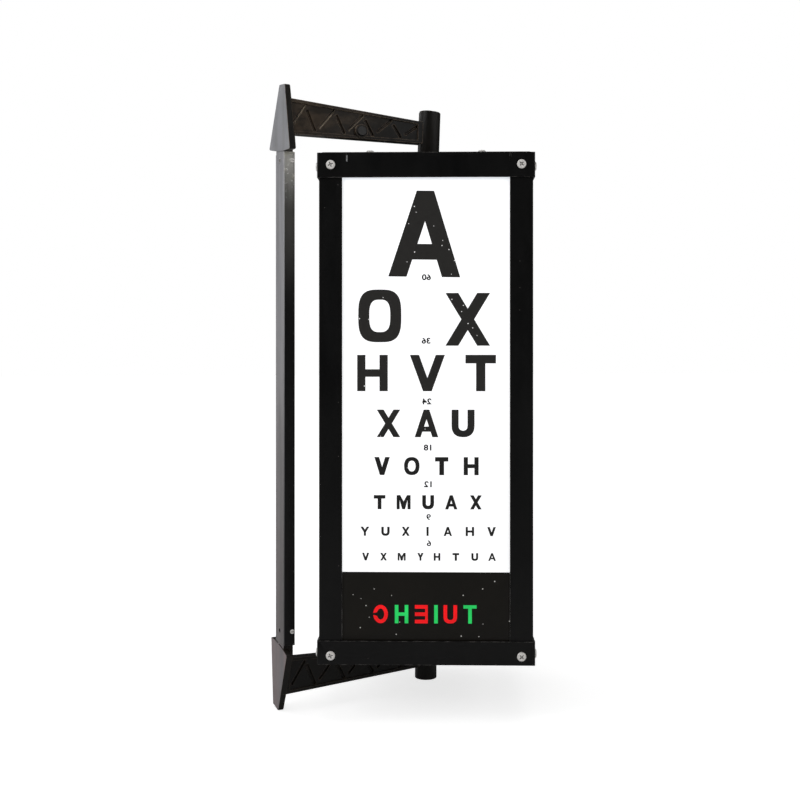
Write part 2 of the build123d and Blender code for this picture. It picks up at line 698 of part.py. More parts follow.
def sun_gear_screw():
    """Hexagon screw and its washer, on top of the lower spindle."""
    top = SUN_BOTTOM + SUN_WIDTH
    head = extrude(Pos(0, 0, top + 1.6) * RegularPolygon(5.0, 6), amount=4.0)
    screw = Pos(0, AXIS_Y, 0) * (head + disc(3.0, top - 13, top + 1.6))
    washer = Pos(0, AXIS_Y, 0) * (disc(10.0, top + 0.1, top + 1.6) - disc(3.05, top, top + 2))
    return screw, washer


def pinion():
    """Twenty-tooth brass pinion with a hub, pressed on the motor's shaft."""
    x, y = pinion_place()
    facing_gap = PINION_BEARING_DEG + 180 + 180 / PINION_TEETH
    outline = gear_outline(PINION_TEETH, facing_gap, BACKLASH / 2)
    gear = prism(Plane.XY.offset(SUN_BOTTOM - 1), outline, SUN_WIDTH + 2)
    gear += disc(8.0, SUN_BOTTOM + SUN_WIDTH + 1, DECK_BOTTOM - 1.2)
    gear -= disc(SHAFT_R, SUN_BOTTOM - 3, DECK_BOTTOM)
    return Pos(x, y, 0) * gear


def motor_shaft():
    """The gearbox's output shaft."""
    x, y = pinion_place()
    return disc(SHAFT_R - 0.02, SUN_BOTTOM - 2, DECK_TOP + 14, x, y)


def gearbox():
    """Round gearbox on the deck, shaft downwards."""
    x, y = pinion_place()
    body = disc(GEARBOX_R, DECK_TOP, DECK_TOP + GEARBOX_HIGH, x, y)
    body = fillet(body.edges().sort_by(Axis.Z)[-1], 1.0)
    return body - disc(SHAFT_R + 0.05, DECK_TOP - 1, DECK_TOP + 16, x, y)


def motor_can():
    """The motor on top of the gearbox, with its rear boss and two terminals."""
    x, y = pinion_place()
    low = DECK_TOP + GEARBOX_HIGH
    can = disc(MOTOR_R, low, low + MOTOR_HIGH, x, y)
    can = fillet(can.edges().sort_by(Axis.Z)[-1], 1.5)
    can += disc(4.0, low + MOTOR_HIGH - 0.5, low + MOTOR_HIGH + 2.5, x, y)
    for side in (-1, 1):
        top = low + MOTOR_HIGH
        can += block(x + side * 8 - 1.2, x + side * 8 + 1.2, y - 0.3, y + 0.3, top - 1, top + 5)
    return can


def motor_screw_places():
    """Three screws through the deck into the gearbox."""
    x, y = pinion_place()
    reach = 13.5
    angles = [math.radians(a) for a in (90, 210, 330)]
    return [(x + reach * math.cos(a), y + reach * math.sin(a)) for a in angles]


def pillar_places():
    """The deck's pillars stand near the drum's corners."""
    return [(sx * PILLAR_XY, sy * PILLAR_XY) for sx, sy in CORNERS]


def deck_plate():
    """Plate above the gears that carries the motor, the light core and the electronics."""
    deck = square_post(DECK, 12.0, DECK_BOTTOM, DECK_TOP)
    x, y = pinion_place()
    deck -= disc(SHAFT_R + 2.0, DECK_BOTTOM - 1, DECK_TOP + 1, x, y)
    deck -= disc(12.0, DECK_BOTTOM - 1, DECK_TOP + 1)
    for px, py in pillar_places():
        deck -= disc(SCREW_HOLE_R, DECK_BOTTOM - 1, DECK_TOP + 1, px, py)
    for px, py in motor_screw_places():
        deck -= disc(1.55, DECK_BOTTOM - 1, DECK_TOP + 1, px, py)
    return deck


def deck_pillars():
    """Four turned pillars between the bottom plate and the deck."""
    pillars = []
    for x, y in pillar_places():
        pillar = disc(PILLAR_R, PLATE_TOP, DECK_BOTTOM, x, y)
        pillar -= disc(SCREW_HOLE_R, PLATE_TOP - 1, PLATE_TOP + 8, x, y)
        pillar -= disc(SCREW_HOLE_R, DECK_BOTTOM - 8, DECK_BOTTOM + 1, x, y)
        pillars.append(park(pillar))
    return pillars


# ---- light core and electronics ------------------------------------------------------------------
def light_core():
    """Square aluminium tube on the deck, round the slip rings, that carries the LED strips."""
    core = square_post(CORE, 2.0, DECK_TOP, CORE_TOP)
    core -= square_post(CORE - 2 * CORE_WALL, 0, DECK_TOP - 1, CORE_TOP + 1)
    return core


def strip_low():
    """Height of the lower ends of the LED strips."""
    return DECK_TOP + 16.0


def led_strips():
    """One circuit strip on each side of the core."""
    low = strip_low()
    strip = block(
        -STRIP_WIDTH / 2, STRIP_WIDTH / 2, -CORE / 2 - STRIP_THICK, -CORE / 2, low, low + STRIP_LENGTH
    )
    return [park(quarter_turn(strip, count)) for count in range(4)]


def led_chips():
    """Rows of square LED packages."""
    chips = []
    face = -CORE / 2 - STRIP_THICK
    for count in range(4):
        for k in range(CHIPS_PER_STRIP):
            z = strip_low() + STRIP_LENGTH * (k + 0.5) / CHIPS_PER_STRIP
            chip = block(-CHIP / 2, CHIP / 2, face - CHIP_THICK, face, z - CHIP / 2, z + CHIP / 2)
            chips.append(park(quarter_turn(chip, count)))
    return chips


def core_brackets():
    """Angle pieces that hold the core on the deck."""
    angle = block(9, 19, -CORE / 2 - 12, -CORE / 2, DECK_TOP, DECK_TOP + 2)
    angle += block(9, 19, -CORE / 2 - 2, -CORE / 2, DECK_TOP, DECK_TOP + 12)
    angle_other = mirror(angle, about=Plane.YZ)
    return [park(quarter_turn(piece, count)) for count in (0, 3) for piece in (angle, angle_other)]


def led_driver():
    """Closed power supply on the deck, behind the core."""
    box = block(-50, 50, -92, -66, DECK_TOP, DECK_TOP + 24)
    return fillet(box.edges().filter_by(Axis.Z), 2.0)


def control_board():
    """Circuit board on the deck with a relay, a chip and a capacitor."""
    x0, x1, y0, y1 = -92.0, -62.0, -40.0, 40.0
    base = DECK_TOP + 6.0
    board = block(x0, x1, y0, y1, base, base + 1.6)
    board += block(x0 + 4, x0 + 19, y0 + 6, y0 + 26, base + 1.6, base + 16)
    board += block(x0 + 8, x0 + 18, -4, 10, base + 1.6, base + 4)
    board += disc(5.0, base + 1.6, base + 15, x0 + 22, 24)
    for x in (x0 + 4, x1 - 4):
        for y in (y0 + 4, y1 - 4):
            board += disc(2.5, DECK_TOP, base, x, y)
    return board


def terminal_block():
    """Row of screw terminals on the deck."""
    low = DECK_TOP
    body = block(-30, 30, 72, 88, low, low + 14)
    for k in range(5):
        body -= disc(2.6, low + 8, low + 15, -24 + 12 * k, 80)
    return body


def sensor_board():
    """Magnetic sensor under the deck, above the ring of index magnets."""
    x = MAGNET_RING_R
    board = block(x - 8, x + 8, -7, 7, DECK_BOTTOM - 1.6, DECK_BOTTOM)
    return board + block(x - 2, x + 2, -2.2, 2.2, DECK_BOTTOM - 3.2, DECK_BOTTOM - 1.6)


def slip_ring_sleeve():
    """Insulating sleeve on the upper spindle."""
    sleeve = disc(SLIP_SLEEVE_R, SLIP_LOW, SLIP_LOW + SLIP_SLEEVE_HIGH, 0, AXIS_Y)
    return sleeve - disc(SPINDLE_R, SLIP_LOW - 1, SLIP_LOW + SLIP_SLEEVE_HIGH + 1, 0, AXIS_Y)


def slip_ring_heights():
    """The lower edges of the two rings."""
    return [SLIP_LOW + 5 + k * SLIP_RING_PITCH for k in range(2)]


def slip_rings():
    """Two brass rings on the sleeve."""
    rings = []
    for low in slip_ring_heights():
        ring = disc(SLIP_RING_R, low, low + SLIP_RING_WIDTH, 0, AXIS_Y)
        rings.append(ring - disc(SLIP_SLEEVE_R + 0.02, low - 1, low + SLIP_RING_WIDTH + 1, 0, AXIS_Y))
    return rings


def brush_block():
    """Insulating block inside the core that holds the brushes."""
    inner = CORE / 2 - CORE_WALL
    return block(-8, 8, inner - 4, inner, SLIP_LOW, SLIP_LOW + SLIP_SLEEVE_HIGH)


def brushes():
    """Carbon brushes that feed the drum from the rings."""
    inner = CORE / 2 - CORE_WALL - 4
    near = SLIP_RING_R + BRUSH_GAP
    pieces = []
    for low in slip_ring_heights():
        pieces.append(park(block(-2.5, 2.5, near, inner, low + 0.5, low + SLIP_RING_WIDTH - 0.5)))
    return pieces


def hub_screws(top_z, upwards):
    """The four screws of a hub."""
    screws = []
    for x, y in hub_screw_places():
        screw = flat_screw(6.5)
        screw = screw if upwards else Rot(180, 0, 0) * screw
        screws.append(park(Pos(x, y, top_z) * screw))
    return screws


def deck_screws():
    """Screws through the deck into the pillars."""
    return [park(Pos(x, y, DECK_TOP) * flat_screw(7.0)) for x, y in pillar_places()]


def motor_screws():
    """Three small screws that hold the gearbox on the deck."""
    screws = []
    for x, y in motor_screw_places():
        screw = disc(2.6, DECK_BOTTOM - 1.6, DECK_BOTTOM, x, y)
        screw += disc(1.5, DECK_BOTTOM - 1.0, DECK_TOP, x, y)
        screws.append(park(screw))
    return screws


# ---- write the nodes -----------------------------------------------------------------------------
gear_screw, gear_washer = sun_gear_screw()
save("wall_column", wall_column())
save("top_arm", top_arm())
save("bottom_arm", bottom_arm())
save("arm_fixing_screws", *arm_fixing_screws())
save("barrel_grub_screws", *barrel_grub_screws())
save("boss_plug", boss_plug())
save("cable_grommet", cable_grommet())
save("top_spindle", top_spindle())
save("bottom_spindle", bottom_spindle())
save("thrust_washer", thrust_washer())
save("sun_gear", park(sun_gear()))
save("index_magnets", *index_magnets())
save("sun_gear_screw", gear_screw)
save("sun_gear_washer", gear_washer)
save("slip_ring_sleeve", slip_ring_sleeve())
save("slip_rings", *slip_rings())

save("top_cap", park(top_cap()))
save("bottom_cap", park(bottom_cap()))
save("lid_plate", park(lid_plate()))
for number, face_name in enumerate(FACES):
    save(f"corner_post_{number + 1}", park(quarter_turn(corner_post(), number)))
    save(f"chart_panel_{face_name}", park(quarter_turn(chart_panel(), number)))
    save(f"lower_mask_{face_name}", park(quarter_turn(lower_mask(), number)))
save("panel_retainers", *panel_retainers())
save("cap_screws_top", *cap_screws(TOP_SCREW_Z))
save("cap_screws_bottom", *cap_screws(BOTTOM_SCREW_Z))
save("lid_screws", *lid_screws())
save("top_hub", park(hub(TOP_HUB_FLANGE - 12, DRUM_TOP + 3.0, TOP_HUB_FLANGE)))
save("top_bush", park(bush(TOP_HUB_FLANGE - 12, DRUM_TOP + 3.4)))
save("bottom_hub", park(hub(DRUM_BOTTOM, PLATE_TOP + 19, PLATE_TOP)))
save("bottom_bush", park(bush(DRUM_BOTTOM - 0.3, PLATE_TOP + 19)))
save("hub_screws", *hub_screws(DRUM_TOP + LID_THICK, True), *hub_screws(PLATE_TOP + HUB_FLANGE, True))
save("deck_plate", park(deck_plate()))
save("deck_pillars", *deck_pillars())
save("deck_screws", *deck_screws())
save("light_core", park(light_core()))
save("core_brackets", *core_brackets())
save("led_strips", *led_strips())
save("led_chips", *led_chips())
save("led_driver", park(led_driver()))
save("control_board", park(control_board()))
save("terminal_block", park(terminal_block()))
save("sensor_board", park(sensor_board()))
save("brush_block", park(brush_block()))
save("brushes", *brushes())
save("gearbox", park(gearbox()))
save("motor_can", park(motor_can()))
save("motor_screws", *motor_screws())

save("motor_shaft", park(motor_shaft()))
save("pinion", park(pinion()))
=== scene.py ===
"""Looks of the revolving lit eye-test chart on its wall bracket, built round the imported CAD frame.

Lengths in the tables are millimetres on the drum's face, measured from the middle of the window's upper
edge, positive to the right and downwards. Everything handed to Blender is in metres, in the row frame.
"""
import json
import math

import bmesh
import bpy
from mathutils import Matrix, Vector


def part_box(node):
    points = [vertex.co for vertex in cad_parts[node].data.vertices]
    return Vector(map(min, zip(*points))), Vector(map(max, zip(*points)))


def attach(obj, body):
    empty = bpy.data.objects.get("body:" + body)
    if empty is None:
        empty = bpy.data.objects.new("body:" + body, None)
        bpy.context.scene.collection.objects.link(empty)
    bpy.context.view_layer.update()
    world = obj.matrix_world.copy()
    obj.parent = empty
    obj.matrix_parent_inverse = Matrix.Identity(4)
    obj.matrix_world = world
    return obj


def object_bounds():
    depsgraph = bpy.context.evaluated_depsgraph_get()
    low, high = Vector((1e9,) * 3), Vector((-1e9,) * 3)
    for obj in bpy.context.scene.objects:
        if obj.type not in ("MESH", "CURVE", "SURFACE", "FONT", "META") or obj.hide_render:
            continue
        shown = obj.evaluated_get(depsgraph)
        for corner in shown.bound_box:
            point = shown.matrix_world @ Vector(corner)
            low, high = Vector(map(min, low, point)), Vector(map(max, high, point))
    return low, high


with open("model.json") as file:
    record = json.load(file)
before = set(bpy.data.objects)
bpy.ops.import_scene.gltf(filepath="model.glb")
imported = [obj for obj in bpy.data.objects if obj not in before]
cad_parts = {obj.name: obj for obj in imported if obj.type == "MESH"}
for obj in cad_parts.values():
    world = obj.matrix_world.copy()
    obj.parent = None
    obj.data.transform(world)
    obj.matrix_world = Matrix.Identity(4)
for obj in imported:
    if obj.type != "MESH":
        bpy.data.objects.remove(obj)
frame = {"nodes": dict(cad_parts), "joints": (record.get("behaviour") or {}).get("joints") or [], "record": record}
cad_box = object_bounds()

MM = 0.001
NODES = frame["nodes"]
JOINTS = {joint["name"]: joint for joint in frame["joints"]}
AXIS = Vector(JOINTS["drum_turn"]["pos_m"])
REST_TURN = math.radians(244.2)
WINDOW_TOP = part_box("top_cap")[0].z
WINDOW_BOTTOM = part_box("lower_mask_front")[1].z
# The drum's front in its own frame: depths of the chart, the lower mask and the enamelled bands, and
# where a corner post ends across the chart.
PANEL_FACE = -0.1077
MASK_FACE = -0.1082
BAND_FACE = -0.1117
POST_EDGE = 0.0860
# How thick the printed film is.
FILM = 0.00012


# ---- shader graphs -------------------------------------------------------------------------------
class Graph:
    """A material's node tree, with short calls for the nodes that the finishes use."""

    def __init__(self, name):
        self.material = bpy.data.materials.new(name)
        self.material.use_nodes = True
        self.tree = self.material.node_tree
        self.tree.nodes.clear()
        self.shader = self.tree.nodes.new("ShaderNodeBsdfPrincipled")
        output = self.tree.nodes.new("ShaderNodeOutputMaterial")
        self.tree.links.new(self.shader.outputs[0], output.inputs[0])
        self.coordinates = self.node("ShaderNodeTexCoord").outputs["Object"]
        self.face = None

    def node(self, kind, **settings):
        made = self.tree.nodes.new(kind)
        for key, value in settings.items():
            setattr(made, key, value)
        return made

    def put(self, socket, value):
        """Links a socket, or sets its constant."""
        if isinstance(value, bpy.types.NodeSocket):
            self.tree.links.new(value, socket)
        elif hasattr(socket.default_value, "__len__") and hasattr(value, "__len__"):
            size = len(socket.default_value)
            socket.default_value = (tuple(value) + (1.0,))[:size]
        else:
            socket.default_value = value

    def set(self, name, value):
        self.put(self.shader.inputs[name], value)

    def on_face(self):
        """Coordinates in the parked drum's own frame: x along the charted face, z up."""
        if self.face is None:
            place = self.node("ShaderNodeMapping")
            turn = Matrix.Rotation(-REST_TURN, 4, "Z")
            self.put(place.inputs["Vector"], self.coordinates)
            place.inputs["Rotation"].default_value = (0, 0, -REST_TURN)
            place.inputs["Location"].default_value = -(turn @ AXIS)
            self.face = place.outputs[0]
        return self.face

    def stretched(self, x, y, z):
        place = self.node("ShaderNodeMapping")
        self.put(place.inputs["Vector"], self.coordinates)
        place.inputs["Scale"].default_value = (x, y, z)
        return place.outputs[0]

    def part(self, vector, axis):
        split = self.node("ShaderNodeSeparateXYZ")
        self.put(split.inputs[0], vector)
        return split.outputs["XYZ".index(axis)]

    def noise(self, scale, detail=3.0, rough=0.5, vector=None, warp=0.0):
        made = self.node("ShaderNodeTexNoise")
        self.put(made.inputs["Vector"], vector or self.coordinates)
        made.inputs["Scale"].default_value = scale
        made.inputs["Detail"].default_value = detail
        made.inputs["Roughness"].default_value = rough
        made.inputs["Distortion"].default_value = warp
        return made.outputs[0]

    def cells(self, scale):
        """Distance to the nearest of scattered points."""
        made = self.node("ShaderNodeTexVoronoi")
        self.put(made.inputs["Vector"], self.coordinates)
        made.inputs["Scale"].default_value = scale
        return made.outputs["Distance"]

    def flat(self):
        """Two coordinates that run along any of the drum's four faces: sideways and up."""
        face = self.on_face()
        made = self.node("ShaderNodeCombineXYZ")
        self.put(made.inputs[0], self.math("ADD", self.part(face, "X"), self.part(face, "Y")))
        self.put(made.inputs[1], self.part(face, "Z"))
        return made.outputs[0]

    def pinholes(self, scale, radius, share):
        """Small round specks, one in some of the cells of a scattered pattern on a face."""
        made = self.node("ShaderNodeTexVoronoi", voronoi_dimensions="2D")
        self.put(made.inputs["Vector"], self.flat())
        made.inputs["Scale"].default_value = scale
        near = self.band(made.outputs["Distance"], radius * 0.7, radius, 1.0, 0.0)
        pick = self.node("ShaderNodeSeparateColor")
        self.put(pick.inputs[0], made.outputs["Color"])
        chosen = self.math("LESS_THAN", pick.outputs[0], share)
        return self.math("MULTIPLY", near, chosen)

    def math(self, operation, first, second=0.0):
        made = self.node("ShaderNodeMath", operation=operation)
        self.put(made.inputs[0], first)
        self.put(made.inputs[1], second)
        return made.outputs[0]

    def band(self, value, low, high, start=0.0, end=1.0):
        """A smooth step: start below low, end above high."""
        made = self.node("ShaderNodeMapRange", interpolation_type="SMOOTHSTEP")
        for key, number in (("From Min", low), ("From Max", high), ("To Min", start), ("To Max", end)):
            made.inputs[key].default_value = number
        self.put(made.inputs["Value"], value)
        return made.outputs[0]

    def mix(self, factor, first, second):
        made = self.node("ShaderNodeMix", data_type="RGBA")
        self.put(made.inputs[0], factor)
        self.put(made.inputs[6], first)
        self.put(made.inputs[7], second)
        return made.outputs[2]

    def spot(self, centre, radius, vector):
        """One inside a small ball round a point, fading out at its rim."""
        away = self.node("ShaderNodeVectorMath", operation="DISTANCE")
        self.put(away.inputs[0], vector)
        away.inputs[1].default_value = centre
        return self.band(away.outputs["Value"], radius * 0.6, radius, 1.0, 0.0)

    def edges(self, radius):
        """Near one where the surface turns a sharp corner, zero on flats."""
        rounded = self.node("ShaderNodeBevel", samples=6)
        rounded.inputs["Radius"].default_value = radius
        plain = self.node("ShaderNodeNewGeometry")
        dot = self.node("ShaderNodeVectorMath", operation="DOT_PRODUCT")
        self.put(dot.inputs[0], rounded.outputs[0])
        self.put(dot.inputs[1], plain.outputs["Normal"])
        return self.band(dot.outputs["Value"], 0.86, 0.995, 1.0, 0.0)

    def facing(self, axis, low, high):
        """A smooth step of how far the surface looks along a row axis, between two cosines."""
        plain = self.node("ShaderNodeTexCoord")
        side = self.part(plain.outputs["Normal"], axis)
        return self.band(side, low, high)

    def crevices(self, distance):
        """Zero in the open, near one in recesses and along inner corners."""
        shade = self.node("ShaderNodeAmbientOcclusion", samples=6)
        shade.inputs["Distance"].default_value = distance
        return self.band(shade.outputs["AO"], 0.35, 0.95, 1.0, 0.0)

    def specks(self, already, places, depth):
        """Adds single pale specks, given as (x, y, radius) in millimetres on the parked drum's front."""
        for x, y, radius in places:
            centre = (x * MM, depth, WINDOW_TOP - y * MM)
            pale = self.math("MULTIPLY", self.spot(centre, radius * MM, self.on_face()), 0.85)
            already = self.math("MAXIMUM", already, pale)
        return already

    def bump(self, height, distance):
        made = self.node("ShaderNodeBump")
        made.inputs["Distance"].default_value = distance
        made.inputs["Strength"].default_value = 1.0
        self.put(made.inputs["Height"], height)
        self.set("Normal", made.outputs[0])


# Single pale marks, each (x, y, radius) on the parked drum's front.
DRUM_CHIPS = [
    (-97.8, 500.7, 1.1), (-84.8, 500.7, 1.0), (-79.0, 500.7, 1.0), (109.5, -27.0, 2.2),
    (-100.0, -26.8, 1.4), (-103.5, 27.0, 0.9), (-102.8, 31.0, 1.0), (-99.8, 31.2, 0.8),
    (-95.0, 35.2, 1.0),
]
INK_SPECKS = [
    (-11.8, 29.5, 0.65), (-11.6, 76.3, 0.72), (16.5, 69.7, 0.58), (23.7, 73.8, 0.65),
    (29.2, 85.1, 0.58), (-17.8, 47.1, 0.50), (-68.2, 144.6, 0.65), (-58.8, 145.4, 0.58),
    (-44.0, 122.9, 0.50), (26.7, 124.9, 0.65), (38.4, 131.1, 0.58), (36.6, 137.4, 0.58),
    (43.2, 149.7, 0.65), (47.9, 154.2, 0.58), (52.4, 162.0, 0.50), (-63.2, 213.8, 0.72),
]
MASK_SPECKS = [
    (70.5, 414.0, 0.74), (58.1, 421.7, 0.67), (38.2, 428.4, 0.67), (-53.1, 422.2, 0.52),
    (-35.3, 428.8, 0.52), (-61.5, 439.3, 0.67), (-67.4, 462.0, 0.67), (-30.4, 468.7, 0.59),
    (36.2, 470.2, 0.67), (54.3, 470.6, 0.59), (85.5, 454.7, 0.67), (-26.9, 456.1, 0.52),
]


def drum_enamel():
    """Satin near-black enamel on folded sheet: uneven colour, orange peel, pale edges of scuffed paint and painted
    highlight, pale specks.
    """
    g = Graph("drum_black_enamel")
    cloud = g.noise(9.0, 4.0, 0.6)
    enamel = g.mix(g.band(cloud, 0.35, 0.7), (0.0026, 0.0026, 0.0027), (0.0044, 0.0043, 0.0042))
    broken = g.noise(140.0, 4.0, 0.65)
    # Pale sharp edges, broken up: partly scuffed paint, partly a painted edge highlight.
    worn_and_lit_edges = g.math("MULTIPLY", g.edges(0.0009), g.band(broken, 0.40, 0.62))
    specks = g.math("MULTIPLY", g.pinholes(70.0, 0.032, 0.10), 0.6)
    specks = g.math("MULTIPLY", specks, g.band(g.noise(9.0, 2.0), 0.48, 0.56))
    # Pale where the metal shows at chips and specks, and along the painted edge highlight.
    bare_and_lit = g.math("MAXIMUM", worn_and_lit_edges, specks)
    bare_and_lit = g.specks(bare_and_lit, DRUM_CHIPS, BAND_FACE)
    g.set("Base Color", g.mix(bare_and_lit, enamel, (0.20, 0.19, 0.18)))
    scuffs = g.noise(30.0, 5.0, 0.7, g.stretched(1.0, 1.0, 0.25), 0.6)
    g.set("Roughness", g.band(scuffs, 0.3, 0.75, 0.29, 0.49))
    g.set("Specular IOR Level", 0.22)
    peel = g.noise(520.0, 2.0, 0.5)
    g.bump(g.math("ADD", peel, g.math("MULTIPLY", bare_and_lit, -0.5)), 0.00006)
    return g


def casting_paint():
    """Brownish black paint over sand-cast metal, with grey wall faces that are a painted reflection, and painted
    shade and highlights.
    """
    g = Graph("casting_black_paint")
    cloud = g.noise(16.0, 4.0, 0.6)
    height = g.part(g.coordinates, "Z")
    reach = g.part(g.coordinates, "Y")
    paint = g.mix(g.band(cloud, 0.35, 0.7), (0.0055, 0.0048, 0.004), (0.0115, 0.0098, 0.0076))
    smear = g.noise(48.0, 5.0, 0.65, g.stretched(1.0, 0.45, 1.0), 0.4)
    brown = g.mix(g.band(smear, 0.38, 0.62), (0.022, 0.0145, 0.0085), (0.082, 0.056, 0.034))
    # Paler brown towards the wall end of the upper arm: scuffed paint, and painted light on the arm's root.
    rubbed_and_lit = g.math("MULTIPLY", g.band(reach, -0.150, -0.02), g.band(height, -0.1, 0.25))
    rubbed_and_lit = g.math("MULTIPLY", rubbed_and_lit, g.band(reach, -0.0085, -0.0075, 1.0, 0.0))
    paint = g.mix(rubbed_and_lit, paint, brown)
    # Painted shade: darker in crevices and along inner corners.
    paint = g.mix(g.crevices(0.0032), paint, (0.0018, 0.0015, 0.0012))
    # Painted highlight: pale tan on the groove sides that face up and towards the wall, strongest near the arm's
    # root.
    lit_flank = g.math("MULTIPLY", g.facing("Y", 0.40, 0.60), g.facing("Z", 0.25, 0.40))
    lit_flank = g.math("MULTIPLY", lit_flank, g.math("MULTIPLY", rubbed_and_lit, g.band(smear, 0.30, 0.50, 0.35, 1.0)))
    paint = g.mix(lit_flank, paint, (0.62, 0.52, 0.40))
    broken = g.noise(170.0, 4.0, 0.65)
    # Pale brown sharp edges, more higher up: partly scuffed paint, partly a painted edge highlight.
    worn_and_lit_edges = g.math("MULTIPLY", g.edges(0.0014), g.band(broken, 0.32, 0.54))
    worn_and_lit_edges = g.math("MULTIPLY", worn_and_lit_edges, g.band(height, -0.15, 0.25, 0.25, 0.8))
    paint = g.mix(worn_and_lit_edges, paint, (0.23, 0.17, 0.12))
    # Painted reflection: the wall-side faces are grey, pinker low and bluer high, with darker streaks.
    streaks = g.noise(60.0, 4.0, 0.6, g.stretched(1.0, 1.0, 0.08))
    reflected_grey = g.mix(g.band(height, -0.32, 0.32), (0.225, 0.180, 0.182), (0.215, 0.218, 0.240))
    reflected_grey = g.mix(g.band(streaks, 0.35, 0.75), reflected_grey, (0.150, 0.148, 0.158))
    wall = g.band(reach, -0.0020, -0.0014)
    back = g.math("MULTIPLY", g.facing("Y", 0.90, 0.98), wall)
    # Painted highlight: a pale line along the rounded edges of the wall-side faces.
    rim = g.math("MULTIPLY", g.facing("Y", 0.25, 0.45), g.facing("Y", 0.985, 0.93))
    rim = g.math("MULTIPLY", g.math("MULTIPLY", rim, wall), g.band(broken, 0.30, 0.50, 0.25, 0.85))
    g.set("Base Color", g.mix(rim, g.mix(back, paint, reflected_grey), (0.62, 0.62, 0.66)))
    g.set("Roughness", g.band(cloud, 0.3, 0.75, 0.36, 0.52))
    g.set("Specular IOR Level", 0.24)
    sand = g.noise(620.0, 3.0, 0.6)
    swell = g.noise(75.0, 2.0)
    g.bump(g.math("ADD", g.math("MULTIPLY", sand, 0.35), swell), 0.00045)
    return g


def column_paint():
    """Dark paint on the wall tube, with wear, paler towards the top as a painted reflection, a scuffed patch under
    the upper casting and a grey back that is a painted reflection.
    """
    g = Graph("column_worn_paint")
    height = g.part(g.coordinates, "Z")
    # Painted reflection: the paint pales towards the top of the tube.
    paint = g.mix(g.band(height, 0.09, 0.20), (0.0040, 0.0040, 0.0040), (0.085, 0.082, 0.075))
    paint = g.mix(g.band(height, 0.19, 0.252), paint, (0.52, 0.51, 0.475))
    streaks = g.noise(34.0, 5.0, 0.62, g.stretched(1.0, 1.0, 0.12), 0.3)
    paint = g.mix(g.band(streaks, 0.42, 0.70, 0.0, 0.6), paint, (0.012, 0.0115, 0.011))
    blotch = g.noise(95.0, 5.0, 0.7)
    patch = g.math("MULTIPLY", g.band(height, 0.222, 0.234), g.band(blotch, 0.46, 0.54))
    paint = g.mix(patch, paint, (0.56, 0.54, 0.47))
    flecks = g.math("MULTIPLY", g.band(height, 0.20, 0.24), g.band(g.noise(380.0, 3.0, 0.6), 0.60, 0.66))
    paint = g.mix(flecks, paint, (0.85, 0.85, 0.84))
    broken = g.noise(210.0, 4.0, 0.65)
    # Pale sharp edges: partly scuffed paint, partly a painted edge highlight.
    worn_and_lit_edges = g.math("MULTIPLY", g.edges(0.0008), g.band(broken, 0.40, 0.60))
    paint = g.mix(g.math("MULTIPLY", worn_and_lit_edges, 0.8), paint, (0.17, 0.15, 0.13))
    # Painted reflection: the wall-side face is grey, darker and warmer low, paler and bluer high, with darker
    # streaks.
    reflected_grey = g.mix(g.band(height, -0.20, 0.22), (0.150, 0.130, 0.128), (0.235, 0.235, 0.260))
    grey_streaks = g.noise(70.0, 4.0, 0.6, g.stretched(1.0, 1.0, 0.05))
    reflected_grey = g.mix(g.band(grey_streaks, 0.35, 0.75), reflected_grey, (0.120, 0.115, 0.118))
    back = g.facing("Y", 0.90, 0.98)
    # Painted highlight: a pale line along the rounded edges of the wall-side face, stronger higher up.
    rim = g.math("MULTIPLY", g.facing("Y", 0.25, 0.45), g.facing("Y", 0.985, 0.93))
    rim = g.math("MULTIPLY", rim, g.band(g.part(g.coordinates, "Y"), -0.0028, -0.0020))
    rim = g.math("MULTIPLY", rim, g.band(height, -0.25, 0.20, 0.15, 0.75))
    g.set("Base Color", g.mix(rim, g.mix(back, paint, reflected_grey), (0.55, 0.55, 0.57)))
    g.set("Roughness", g.band(streaks, 0.3, 0.75, 0.34, 0.55))
    g.set("Specular IOR Level", 0.24)
    g.bump(g.math("ADD", g.noise(420.0, 2.0), g.math("MULTIPLY", worn_and_lit_edges, -0.6)), 0.00012)
    return g


def mask_coating():
    """Warm black coating of the lower panel, with a scatter of white pinholes."""
    g = Graph("mask_black_coating")
    cloud = g.noise(22.0, 4.0, 0.6)
    black = g.mix(g.band(cloud, 0.35, 0.7), (0.0058, 0.0046, 0.0028), (0.0085, 0.0068, 0.0044))
    holes = g.math("MULTIPLY", g.pinholes(120.0, 0.06, 0.04), 0.6)
    holes = g.specks(holes, MASK_SPECKS, MASK_FACE)
    g.set("Base Color", g.mix(holes, black, (0.75, 0.75, 0.72)))
    g.set("Emission Color", g.mix(holes, (0.0, 0.0, 0.0), (0.9, 0.9, 0.85)))
    g.set("Emission Strength", 0.35)
    g.set("Specular IOR Level", 0.26)
    g.set("Roughness", g.band(cloud, 0.3, 0.7, 0.38, 0.52))
    g.bump(g.noise(300.0, 3.0), 0.00005)
    return g


